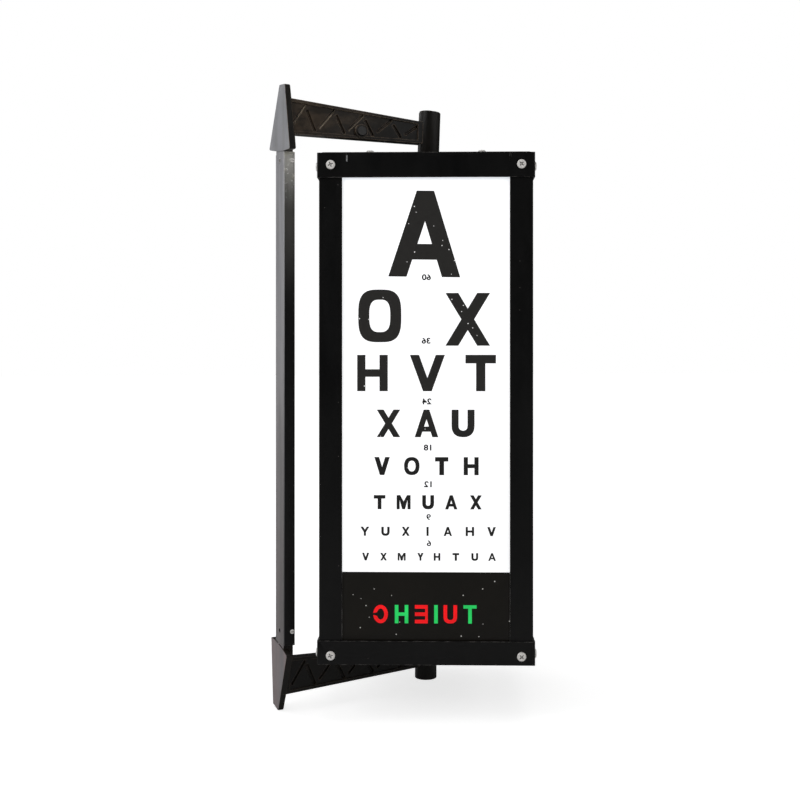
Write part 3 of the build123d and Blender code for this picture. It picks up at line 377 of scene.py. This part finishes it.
def opal_acrylic():
    """Lit opal sheet: even glow, a little weaker and cooler under the top cap (a painted shadow) and in faint
    lines near the window's sides.
    """
    g = Graph("opal_lit_acrylic")
    face = g.on_face()
    height = g.part(face, "Z")
    # Painted shadow of the top cap: the glow is weaker and cooler just under the window's upper edge.
    top = g.band(height, WINDOW_TOP - 0.006, WINDOW_TOP)
    blot = g.noise(6.0, 2.0)
    white = g.mix(g.band(blot, 0.3, 0.7), (0.965, 0.972, 0.98), (0.985, 0.985, 0.985))
    glow = g.mix(top, white, (0.86, 0.90, 0.95))
    across = g.math("ABSOLUTE", g.part(face, "X"))
    line = g.math("MULTIPLY", g.band(across, POST_EDGE - 0.0034, POST_EDGE - 0.0026),
                  g.band(across, POST_EDGE - 0.0014, POST_EDGE - 0.0022))
    glow = g.mix(g.math("MULTIPLY", line, 0.35), glow, (0.74, 0.77, 0.80))
    hidden = g.band(height, WINDOW_BOTTOM - 0.002, WINDOW_BOTTOM - 0.001, 1.0, 0.0)
    glow = g.mix(hidden, glow, (0.0, 0.0, 0.0))
    g.set("Base Color", (0.80, 0.81, 0.82))
    g.set("Emission Color", glow)
    g.set("Emission Strength", 0.745)
    g.set("Roughness", g.band(g.noise(40.0, 3.0), 0.3, 0.7, 0.26, 0.34))
    g.bump(g.noise(18.0, 2.0), 0.00004)
    return g


def ink(name, color, glow, pinholes):
    """Printed film: dense ink with a few pinholes where the light comes through."""
    g = Graph(name)
    cloud = g.noise(45.0, 4.0, 0.6)
    darker = tuple(0.72 * c for c in color)
    dense = g.mix(g.band(cloud, 0.3, 0.75), color, darker)
    if pinholes:
        small = g.band(g.part(g.on_face(), "Z"), WINDOW_TOP - 0.300, WINDOW_TOP - 0.235, 0.6, 0.0)
        dense = g.mix(small, dense, (0.0, 0.0, 0.0))
    fine = g.math("MULTIPLY", g.pinholes(110.0, 0.05, pinholes), 0.7)
    if pinholes:
        fine = g.specks(fine, INK_SPECKS, PANEL_FACE)
    g.set("Base Color", g.mix(fine, dense, (0.85, 0.85, 0.85)))
    if glow:
        g.set("Emission Color", g.mix(fine, dense, (1.0, 1.0, 1.0)))
        g.set("Emission Strength", glow)
    elif pinholes:
        g.set("Emission Color", g.mix(fine, (0.0, 0.0, 0.0), (1.0, 1.0, 1.0)))
        g.set("Emission Strength", 0.7)
    g.set("Roughness", g.band(cloud, 0.3, 0.7, 0.42, 0.55))
    g.bump(g.noise(500.0, 2.0), 0.00002)
    return g


def metal(name, color, dark, rough, scratch, dirt_and_shade=0.0, shine=1.0):
    """Metal with fine scratches, uneven tone and recesses darkened by grime and painted shade; shine is its
    metallic share.
    """
    g = Graph(name)
    cloud = g.noise(60.0, 4.0, 0.6)
    tone = g.mix(g.band(cloud, 0.3, 0.72), color, dark)
    # Recesses darkened brown: grime, and painted shade.
    if dirt_and_shade:
        tone = g.mix(g.math("MULTIPLY", g.crevices(0.0016), dirt_and_shade), tone, (0.022, 0.014, 0.009))
    g.set("Base Color", tone)
    g.set("Metallic", shine)
    lines = g.noise(scratch, 4.0, 0.6, g.stretched(1.0, 1.0, 0.2))
    g.set("Roughness", g.band(lines, 0.3, 0.7, rough - 0.08, rough + 0.12))
    g.bump(lines, 0.00003)
    return g


def moulded(name, color, dark, rough, grain, deep):
    """Moulded plastic or rubber: fine grain and faint marbling."""
    g = Graph(name)
    cloud = g.noise(35.0, 4.0, 0.6)
    g.set("Base Color", g.mix(g.band(cloud, 0.3, 0.72), color, dark))
    g.set("Roughness", g.band(cloud, 0.3, 0.7, rough - 0.05, rough + 0.1))
    g.bump(g.noise(grain, 3.0, 0.6), deep)
    return g


def circuit_board():
    """Green solder mask with paler tracks and dull pads."""
    g = Graph("circuit_board_green")
    tracks = g.noise(190.0, 0.0, 0.5, g.stretched(1.0, 0.25, 1.0))
    tone = g.mix(g.band(tracks, 0.52, 0.56), (0.012, 0.085, 0.03), (0.03, 0.15, 0.055))
    pads = g.band(g.cells(260.0), 0.10, 0.14, 1.0, 0.0)
    g.set("Base Color", g.mix(pads, tone, (0.55, 0.5, 0.35)))
    g.set("Roughness", g.band(pads, 0.2, 0.8, 0.3, 0.5))
    g.bump(tracks, 0.00008)
    return g


def led_lit():
    """Yellow-white phosphor of a lit LED package."""
    g = Graph("led_phosphor_lit")
    middle = g.noise(420.0, 2.0)
    tone = g.mix(g.band(middle, 0.3, 0.7), (1.0, 0.93, 0.72), (1.0, 0.97, 0.86))
    g.set("Base Color", tone)
    g.set("Emission Color", tone)
    g.set("Emission Strength", 2.5)
    g.set("Roughness", g.band(middle, 0.3, 0.7, 0.35, 0.5))
    g.bump(middle, 0.00003)
    return g


FINISHES = {
    "casting_black": casting_paint(),
    "column_paint": column_paint(),
    "drum_enamel": drum_enamel(),
    "mask_black": mask_coating(),
    "opal_acrylic": opal_acrylic(),
    "steel_bright": metal(
        "plated_steel_bright", (0.98, 0.96, 0.93), (0.93, 0.90, 0.86), 0.30, 900.0, dirt_and_shade=1.0, shine=0.10),
    "steel_dark": metal(
        "turned_steel_dark", (0.20, 0.19, 0.18), (0.12, 0.115, 0.11), 0.36, 700.0, dirt_and_shade=0.5),
    "bronze": metal("bearing_bronze", (0.45, 0.27, 0.12), (0.33, 0.19, 0.09), 0.42, 500.0, dirt_and_shade=0.5),
    "brass": metal("machined_brass", (0.72, 0.52, 0.22), (0.58, 0.40, 0.16), 0.28, 800.0, dirt_and_shade=0.3),
    "aluminium_raw": metal("mill_aluminium", (0.70, 0.71, 0.72), (0.58, 0.59, 0.60), 0.38, 600.0, dirt_and_shade=0.3),
    "magnet_nickel": metal("nickel_plate", (0.72, 0.70, 0.66), (0.60, 0.58, 0.55), 0.18, 900.0),
    "motor_zinc": metal(
        "zinc_plated_housing", (0.55, 0.55, 0.53), (0.42, 0.42, 0.41), 0.40, 500.0, dirt_and_shade=0.4),
    "rubber_black": moulded(
        "black_rubber", (0.012, 0.012, 0.012), (0.02, 0.019, 0.018), 0.72, 900.0, 0.00012),
    "black_plastic": moulded(
        "black_moulding", (0.012, 0.011, 0.010), (0.020, 0.018, 0.017), 0.42, 800.0, 0.00005),
    "strip_white": moulded(
        "white_circuit_strip", (0.78, 0.78, 0.75), (0.70, 0.70, 0.67), 0.45, 600.0, 0.00004),
    "driver_white": moulded(
        "off_white_housing", (0.62, 0.62, 0.59), (0.55, 0.55, 0.52), 0.5, 500.0, 0.00006),
    "carbon": moulded("pressed_carbon", (0.02, 0.02, 0.022), (0.035, 0.035, 0.037), 0.55, 900.0, 0.00008),
    "circuit_green": circuit_board(),
    "led_lit": led_lit(),
}
for part in frame["record"]["subparts"]:
    node = NODES[part["node"]]
    node.data.materials.clear()
    node.data.materials.append(FINISHES[part["material_slot"]].material)

# Bevel widths in millimetres.
SOFT_EDGES = {
    "top_arm": 0.7, "bottom_arm": 0.7, "wall_column": 0.5, "top_cap": 0.5, "bottom_cap": 0.5,
    "lid_plate": 0.3, "boss_plug": 0.2, "deck_plate": 0.4, "light_core": 0.3, "led_driver": 0.6,
    "control_board": 0.2, "terminal_block": 0.5, "bottom_hub": 0.5, "top_hub": 0.5, "gearbox": 0.4,
    "motor_can": 0.3, "chart_panel_front": 0.3, "chart_panel_right": 0.3, "chart_panel_back": 0.3,
    "chart_panel_left": 0.3,
}
for name, width in SOFT_EDGES.items():
    weld = NODES[name].modifiers.new("weld", "WELD")
    weld.merge_threshold = 0.000004
    bevel = NODES[name].modifiers.new("soft_edges", "BEVEL")
    bevel.limit_method = "ANGLE"
    bevel.angle_limit = math.radians(38)
    bevel.width = width * MM
    bevel.segments = 2
    bevel.harden_normals = True
    bevel.use_clamp_overlap = True


# ---- optotypes -----------------------------------------------------------------------------------
def arc(cx, cy, rx, ry, start, end, steps, power=2.0):
    """Points of an elliptical (or squarer) arc; angles in degrees."""
    points = []
    for k in range(steps + 1):
        angle = math.radians(start + (end - start) * k / steps)
        c, s = math.cos(angle), math.sin(angle)
        points.append((
            cx + rx * math.copysign(abs(c) ** (2 / power), c),
            cy + ry * math.copysign(abs(s) ** (2 / power), s),
        ))
    return points


# Each letter_ function gives the closed outlines of a heavy block optotype, one high and w wide, with
# strokes t thick.
def letter_h(w, t):
    low, high = 0.5 - t * 0.46, 0.5 + t * 0.46
    return [[(0, 0), (t, 0), (t, low), (w - t, low), (w - t, 0), (w, 0), (w, 1), (w - t, 1),
             (w - t, high), (t, high), (t, 1), (0, 1)]]


def letter_t(w, t):
    left, right, bar = (w - t) / 2, (w + t) / 2, 1 - t * 0.92
    return [[(left, 0), (right, 0), (right, bar), (w, bar), (w, 1), (0, 1), (0, bar), (left, bar)]]


def letter_i(w, t):
    left, right = (w - t) / 2, (w + t) / 2
    return [[(left, 0), (right, 0), (right, 1), (left, 1)]]


def letter_a(w, t):
    foot, tip = t * 1.12, t * 0.53
    lean = w / 2 - tip
    peak = (w / 2 - foot) / lean
    low, high = 0.20, 0.20 + t * 0.96
    low_in, high_in = foot + lean * low, foot + lean * high
    outer = [(0, 0), (foot, 0), (low_in, low), (w - low_in, low), (w - foot, 0), (w, 0),
             (w / 2 + tip, 1), (w / 2 - tip, 1)]
    return [outer, [(high_in, high), (w / 2, peak), (w - high_in, high)]]


def letter_v(w, t):
    """The A without its crossbar, turned over."""
    foot, tip = t * 1.12, t * 0.53
    peak = (w / 2 - foot) / (w / 2 - tip)
    upturned = [(foot, 0), (w / 2, peak), (w - foot, 0), (w, 0), (w / 2 + tip, 1), (w / 2 - tip, 1), (0, 0)]
    return [[(x, 1 - y) for x, y in upturned]]


def letter_x(w, t):
    foot = t * 1.22
    lean = w - foot
    notch = (w / 2 - foot) / lean
    return [[(0, 0), (foot, 0), (w / 2, notch), (w - foot, 0), (w, 0), (w - lean / 2, 0.5), (w, 1),
             (w - foot, 1), (w / 2, 1 - notch), (foot, 1), (0, 1), (lean / 2, 0.5)]]


def letter_u(w, t):
    r = w / 2
    deep = min(r, 0.42)
    outer = arc(r, deep, r, deep, 180, 360, 14, 2.35)
    inner = arc(r, deep, r - t, deep - t * 0.94, 360, 180, 14, 2.35)
    return [outer + [(w, 1), (w - t, 1)] + inner + [(t, 1), (0, 1)]]


def letter_o(w, t):
    """A ring that is squarer when it is narrow."""
    square = 3.2 if w < 0.85 else 2.4
    outer = arc(w / 2, 0.5, w / 2, 0.5, 0, 360, 56, square)[:-1]
    inner = arc(w / 2, 0.5, w / 2 - t, 0.5 - t * 0.92, 360, 0, 56, square - 0.2)[:-1]
    return [outer, inner]


def letter_m(w, t):
    shoulder = t * 1.18
    lean = t * 0.95
    notch = 0.22 + t * 1.55
    return [[(0, 0), (t, 0), (t, 0.66), (w / 2 - lean / 2, 0), (w / 2 + lean / 2, 0), (w - t, 0.66),
             (w - t, 0), (w, 0), (w, 1), (w - shoulder, 1), (w / 2, notch), (shoulder, 1), (0, 1)]]


def letter_y(w, t):
    left, right, fork = (w - t) / 2, (w + t) / 2, 0.40
    foot = t * 1.2
    return [[(left, 0), (right, 0), (right, fork), (w, 1), (w - foot, 1), (w / 2, fork + t * 1.15),
             (foot, 1), (0, 1), (left, fork)]]


def letter_e(w, t):
    spine = t * w
    return [[(0, 0), (w, 0), (w, t), (spine, t), (spine, 2 * t), (w, 2 * t), (w, 3 * t), (spine, 3 * t),
             (spine, 4 * t), (w, 4 * t), (w, 1), (0, 1)]]


def letter_c(w, t):
    """A broken ring; its gap is narrower outside than inside."""
    outside = math.degrees(math.asin(t)) / 2
    inside = math.degrees(math.asin(t / 2 / (0.5 - t)))
    outer = arc(w / 2, 0.5, w / 2, 0.5, outside, 360 - outside, 44)
    inner = arc(w / 2, 0.5, w / 2 - t, 0.5 - t, 360 - inside, inside, 44)
    return [outer + inner]


LETTERS = {"A": letter_a, "C": letter_c, "E": letter_e, "H": letter_h, "I": letter_i, "M": letter_m,
           "O": letter_o, "T": letter_t, "U": letter_u, "V": letter_v, "X": letter_x, "Y": letter_y}


def mesh_of(outline):
    """A mesh from the data of a curve or of a text."""
    holder = bpy.data.objects.new("outline", outline)
    bpy.context.scene.collection.objects.link(holder)
    depsgraph = bpy.context.evaluated_depsgraph_get()
    mesh = bpy.data.meshes.new_from_object(holder.evaluated_get(depsgraph))
    bpy.data.objects.remove(holder)
    return mesh


def add_print(name, mesh, finish):
    """Makes a printed piece from its mesh, riding on the drum."""
    mesh.name = name
    mesh.materials.append(finish.material)
    piece = bpy.data.objects.new(name, mesh)
    bpy.context.scene.collection.objects.link(piece)
    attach(piece, "drum")


def print_on_face(name, items, face, finish, front):
    """One piece from many outlines: items are (loops, x, y, height, turn), laid on a face of the drum.

    The film stands on a sheet whose surface is at the depth front.
    """
    curve = bpy.data.curves.new(name, "CURVE")
    curve.dimensions = "2D"
    curve.fill_mode = "BOTH"
    curve.extrude = 0.5
    for loops, x, y, height, turn in items:
        xs = [p[0] for loop in loops for p in loop]
        middle = (min(xs) + max(xs)) / 2
        c, s = math.cos(math.radians(turn)), math.sin(math.radians(turn))
        for loop in loops:
            spline = curve.splines.new("POLY")
            spline.points.add(len(loop) - 1)
            spline.use_cyclic_u = True
            for point, (px, py) in zip(spline.points, loop):
                px, py = (px - middle) * height, (py - 0.5) * height
                point.co = ((x + px * c - py * s) * MM, (-y + px * s + py * c) * MM, 0, 1)
    mesh = mesh_of(curve)
    upright = Matrix(((1, 0, 0, 0), (0, 0, -FILM, front - FILM / 2), (0, 1, 0, WINDOW_TOP), (0, 0, 0, 1)))
    mesh.transform(upright)
    mesh.transform(face_place(face))
    tidy(mesh)
    add_print(name, mesh, finish)


def tidy(mesh):
    """Welds the outline's walls to its faces and points the normals outwards."""
    shape = bmesh.new()
    shape.from_mesh(mesh)
    bmesh.ops.remove_doubles(shape, verts=shape.verts, dist=2e-7)
    bmesh.ops.recalc_face_normals(shape, faces=shape.faces)
    for facet in shape.faces:
        facet.smooth = False
    shape.to_mesh(mesh)
    shape.free()


def face_place(face):
    """From a face's own frame to the row frame: x along the face, -y out of it, z up."""
    return Matrix.Translation(AXIS) @ Matrix.Rotation(REST_TURN + face * math.pi / 2, 4, "Z")


def snellen(distance_m):
    """Height in millimetres of an optotype that spans five minutes of arc at a distance."""
    return 2000 * distance_m * math.tan(math.radians(2.5 / 60))


# Each row's distance in metres and y, and its letters as (letter, x, width).
LETTER_ROWS = [
    (60, 57.6, [("A", -1.1, 73.0)]),
    (36, 143.6, [("O", -47.4, 43.9), ("X", 42.9, 44.6)]),
    (24, 200.5, [("H", -54.9, 31.1), ("V", 1.5, 34.9), ("T", 56.2, 30.9)]),
    (18, 252.2, [("X", -38.4, 23.0), ("A", 0.6, 23.3), ("U", 38.1, 23.2)]),
    (12, 296.0, [("V", -45.0, 14.8), ("O", -14.5, 15.5), ("T", 16.2, 13.3), ("H", 46.4, 15.0)]),
    (9, 333.1, [("T", -47.6, 11.6), ("M", -22.9, 14.0), ("U", 2.3, 11.8), ("A", 26.0, 11.6),
                ("X", 51.2, 10.9)]),
    (6, 363.0, [("Y", -62.7, 8.0), ("U", -41.5, 8.2), ("X", -20.7, 7.0), ("I", 1.7, 2.1), ("A", 22.5, 7.6),
                ("H", 45.1, 8.3), ("V", 67.3, 7.8)]),
    (5, 389.1, [("V", -61.9, 6.2), ("X", -43.5, 5.7), ("M", -24.9, 7.8), ("Y", -5.6, 5.4), ("H", 11.4, 6.4),
                ("T", 30.7, 6.6), ("U", 50.1, 6.6), ("A", 67.8, 6.9)]),
]
# How much higher than the rule each row is printed, in millimetres.
SPREAD = {60: 1.2, 36: 1.8, 24: 2.4, 18: 2.1, 12: 1.05, 9: 1.4, 6: 0.6, 5: 0.6}
# The 36 row climbs to the left, in millimetres, and the 60 letter leans, in degrees.
LIFT_36 = {"O": 1.8, "X": -1.8}
TILT_60 = -0.8
# Stroke widths as shares of a letter's height, the plain one for the turned and coloured optotypes, and
# how much bolder the small rows are printed.
STEMS = {"A": 0.19, "O": 0.21, "X": 0.20, "H": 0.228, "V": 0.225, "T": 0.255, "U": 0.25, "M": 0.205,
         "Y": 0.22, "I": 0.22}
PLAIN_STROKE = 0.2
BOLDER = {60: 1.0, 36: 1.0, 24: 1.0, 18: 1.02, 12: 1.04, 9: 1.06, 6: 1.08, 5: 1.1}
# Ink spread sideways, in millimetres, on letters with slanted strokes and on the others.
SLANTED_FEET = {"A": 1.0, "V": 1.1, "X": 1.2, "Y": 1.2}
PLAIN_FEET = 0.35
# The distance printed under each row, as (metres, x, y).
LABELS = [(60, 0.5, 102.1), (36, 0.1, 167.3), (24, 0.9, 229.6), (18, 1.7, 277.0), (12, 2.0, 314.6),
          (9, 2.8, 348.4), (6, 3.1, 375.1)]
LABEL_HEIGHT = 6.2
LABEL_STRETCH = 1.17
LABEL_BOLD = 0.030
NUMBER_BOLD = 0.022
# How much lower the label 60 is on the other faces, where it can't sit between the legs of an A.
CLEAR_OF_60 = 4.2
# The built-in digits whose outlines break when they are made bolder than this.
THIN_DIGITS = {"4": 0.0, "6": 0.018, "9": 0.018}


def letter_items(rows):
    """The printed letters of the front face, each with its own width and weight."""
    items = []
    for distance, y, letters in rows:
        for letter, x, wide in letters:
            high = snellen(distance) + SPREAD[distance]
            wide += SLANTED_FEET.get(letter, PLAIN_FEET)
            loops = LETTERS[letter](wide / high, STEMS[letter] * BOLDER[distance])
            lift = LIFT_36[letter] if distance == 36 else 0.0
            items.append((loops, x, y - lift, high, TILT_60 if distance == 60 else 0))
    return items


def turned_items(letter):
    """The same rows with one optotype in four directions."""
    items = []
    turns = [0, 90, 270, 180, 90, 0, 180, 270, 0, 180, 90, 270, 180, 0]
    count = 0
    for distance, y, letters in LETTER_ROWS:
        for _, x, _ in letters:
            count += 1
            turn = turns[(count * 5 + distance) % len(turns)]
            items.append((LETTERS[letter](1.0, PLAIN_STROKE), x, y, snellen(distance), turn))
    return items


def number_mesh(text, bold):
    """A number in the built-in typeface, as a flat mesh."""
    data = bpy.data.curves.new("number", "FONT")
    data.body = text
    data.offset = bold
    data.align_x = "CENTER"
    return mesh_of(data)


def print_numbers(name, items, face, finish, bold, mirror, stretch=1.0):
    """One piece from many numbers: items are (text, x, y, height). Mirrored ones read right in a mirror."""
    shape = bmesh.new()
    for text, x, y, height in items:
        mesh = number_mesh(text, min(bold, THIN_DIGITS.get(text, bold)))
        ys = [v.co.y for v in mesh.vertices]
        xs = [v.co.x for v in mesh.vertices]
        size = height * MM / (max(ys) - min(ys))
        flip = -stretch if mirror else stretch
        mid_x, mid_y = (max(xs) + min(xs)) / 2, (max(ys) + min(ys)) / 2
        for v in mesh.vertices:
            v.co = (x * MM + (v.co.x - mid_x) * size * flip, 0.0, (v.co.y - mid_y) * size - y * MM)
        shape.from_mesh(mesh)
        bpy.data.meshes.remove(mesh)
    bmesh.ops.remove_doubles(shape, verts=shape.verts, dist=2e-7)
    bmesh.ops.recalc_face_normals(shape, faces=shape.faces)
    solid = bmesh.ops.extrude_face_region(shape, geom=shape.faces[:])
    moved = [e for e in solid["geom"] if isinstance(e, bmesh.types.BMVert)]
    bmesh.ops.translate(shape, verts=moved, vec=(0, -FILM, 0))
    bmesh.ops.recalc_face_normals(shape, faces=shape.faces)
    for facet in shape.faces:
        facet.smooth = False
    mesh = bpy.data.meshes.new(name)
    shape.to_mesh(mesh)
    shape.free()
    mesh.transform(Matrix.Translation((0, PANEL_FACE, WINDOW_TOP)))
    mesh.transform(face_place(face))
    add_print(name, mesh, finish)


INK = ink("chart_ink_black", (0.028, 0.0262, 0.0238), 0.0, 0.05)
FINE_INK = ink("label_ink_grey", (0.012, 0.012, 0.013), 0.0, 0.0)
RED = ink("filter_red", (0.80, 0.001, 0.004), 0.72, 0.0)
GREEN = ink("filter_green", (0.012, 0.52, 0.10), 0.78, 0.0)
SIDES = ("front", "right", "back", "left")

print_on_face("letters_front", letter_items(LETTER_ROWS), 0, INK, PANEL_FACE)
print_on_face("optotypes_right", turned_items("E"), 1, INK, PANEL_FACE)
print_on_face("optotypes_back", turned_items("C"), 2, INK, PANEL_FACE)
NUMBER_ORDER = "472583692745386259437825694857369"
places = [(x, y, snellen(distance)) for distance, y, letters in LETTER_ROWS for _, x, _ in letters]
numbers = [(digit, x, y, high) for digit, (x, y, high) in zip(NUMBER_ORDER, places)]
print_numbers("numbers_left", numbers, 3, INK, NUMBER_BOLD, mirror=False)
for face, side in enumerate(SIDES):
    labels = []
    for number, x, y in LABELS:
        drop = CLEAR_OF_60 if face and number == 60 else 0
        labels.append((str(number), x, y + drop, LABEL_HEIGHT))
    print_numbers("distances_" + side, labels, face, FINE_INK, LABEL_BOLD, face == 0, LABEL_STRETCH)

COLOUR_Y = 447.9
COLOUR_HEIGHT = 18.8
# Each coloured optotype as (letter, x, width over height, turn), red and green by turns.
COLOUR_ROW = [("C", -46.5, 0.80, 180), ("H", -25.0, 0.74, 0), ("E", -4.7, 0.70, 180), ("I", 10.3, 0.24, 0),
              ("U", 25.0, 0.74, 0), ("T", 45.2, 0.72, 0)]
for face, side in enumerate(SIDES):
    for tint, finish, first in (("red", RED, 0), ("green", GREEN, 1)):
        row = [(LETTERS[letter](wide, PLAIN_STROKE), x, COLOUR_Y, COLOUR_HEIGHT, turn)
               for letter, x, wide, turn in COLOUR_ROW[first::2]]
        print_on_face(f"{tint}_optotypes_{side}", row, face, finish, MASK_FACE)


# ---- stage ---------------------------------------------------------------------------------------
def stage_floor():
    """Pale floor under the bracket's lower tip."""
    mesh = bpy.data.meshes.new("floor")
    shape = bmesh.new()
    bmesh.ops.create_grid(shape, x_segments=24, y_segments=24, size=30.0)
    shape.to_mesh(mesh)
    shape.free()
    floor = bpy.data.objects.new("floor", mesh)
    floor.location = (0, 0, cad_box[0].z - 0.0004)
    bpy.context.scene.collection.objects.link(floor)
    g = Graph("pale_floor")
    g.set("Base Color", (0.86, 0.86, 0.86))
    g.set("Roughness", 0.5)
    seen = g.node("ShaderNodeLightPath").outputs["Is Camera Ray"]
    away = g.node("ShaderNodeVectorMath", operation="LENGTH")
    g.put(away.inputs[0], g.coordinates)
    glow = g.band(away.outputs["Value"], 0.4, 2.5, 0.72, 1.0)
    g.set("Emission Color", (1.0, 1.0, 1.0))
    g.set("Emission Strength", g.math("MULTIPLY", seen, glow))
    mesh.materials.append(g.material)


def soft_light(name, place, target, size, power, reflected=True):
    """A rectangular lamp turned to its target; it can be kept out of reflections."""
    data = bpy.data.lights.new(name, "AREA")
    data.shape = "RECTANGLE"
    data.size, data.size_y = size
    data.energy = power
    lamp = bpy.data.objects.new(name, data)
    lamp.location = place
    lamp.visible_glossy = reflected
    lamp.rotation_mode = "QUATERNION"
    lamp.rotation_quaternion = (Vector(target) - Vector(place)).to_track_quat("-Z", "Y")
    bpy.context.scene.collection.objects.link(lamp)


def surroundings():
    """White behind the object for the camera, dim grey for everything that it lights or reflects in."""
    world = bpy.data.worlds.new("studio")
    bpy.context.scene.world = world
    world.use_nodes = True
    tree = world.node_tree
    tree.nodes.clear()
    output = tree.nodes.new("ShaderNodeOutputWorld")
    shader = tree.nodes.new("ShaderNodeBackground")
    path = tree.nodes.new("ShaderNodeLightPath")
    level = tree.nodes.new("ShaderNodeMapRange")
    level.inputs["To Min"].default_value = 0.06
    level.inputs["To Max"].default_value = 1.0
    tree.links.new(path.outputs["Is Camera Ray"], level.inputs["Value"])
    tree.links.new(level.outputs[0], shader.inputs["Strength"])
    tree.links.new(shader.outputs[0], output.inputs[0])
    shader.inputs["Color"].default_value = (1, 1, 1, 1)


CAMERA = Vector((-1.1466, 0.3706, 0.0346))
HEADING = math.radians(-24.55)
FORWARD = Vector((math.cos(HEADING), math.sin(HEADING), 0))
RIGHT = Vector((math.sin(HEADING), -math.cos(HEADING), 0))
UP = Vector((0, 0, 1))
LENS = 50.913
SHIFT = (-0.01325, -0.04625)


def camera():
    """The viewpoint that frames the object from its left, level with the drum."""
    data = bpy.data.cameras.new("camera")
    data.sensor_width = 36.0
    data.lens = LENS
    data.shift_x, data.shift_y = SHIFT
    data.clip_start, data.clip_end = 0.05, 200.0
    seen_by = bpy.data.objects.new("camera", data)
    seen_by.location = CAMERA
    seen_by.rotation_mode = "QUATERNION"
    seen_by.rotation_quaternion = FORWARD.to_track_quat("-Z", "Y")
    bpy.context.scene.collection.objects.link(seen_by)
    bpy.context.scene.camera = seen_by


def from_camera(right, up, forward):
    """A place given along the picture's own directions, from the drum's middle."""
    return AXIS + RIGHT * right + UP * up + FORWARD * forward


stage_floor()
surroundings()
soft_light("key", from_camera(-1.5, 1.1, -0.9), from_camera(0, 0, 0), (1.2, 1.6), 13)
soft_light("front", from_camera(-0.4, 0.9, -2.2), from_camera(0, 0, 0), (1.0, 1.0), 6, reflected=False)
soft_light("glance", Vector((-2.1, -0.75, 0.98)), Vector((0, 0, 0.25)), (1.0, 0.8), 4.5)
soft_light("rim_left", from_camera(-1.6, 0.2, 1.0), from_camera(-0.1, 0, 0), (1.0, 2.2), 12)
soft_light("fill_right", from_camera(1.8, 0.5, -0.5), from_camera(0, 0, 0), (1.2, 1.8), 6)
soft_light("top", from_camera(0.1, 1.9, 0.2), from_camera(0, 0, 0), (1.8, 1.8), 9)
camera()
bpy.context.scene.view_settings.view_transform = "Standard"
bpy.context.scene.view_settings.look = "None"
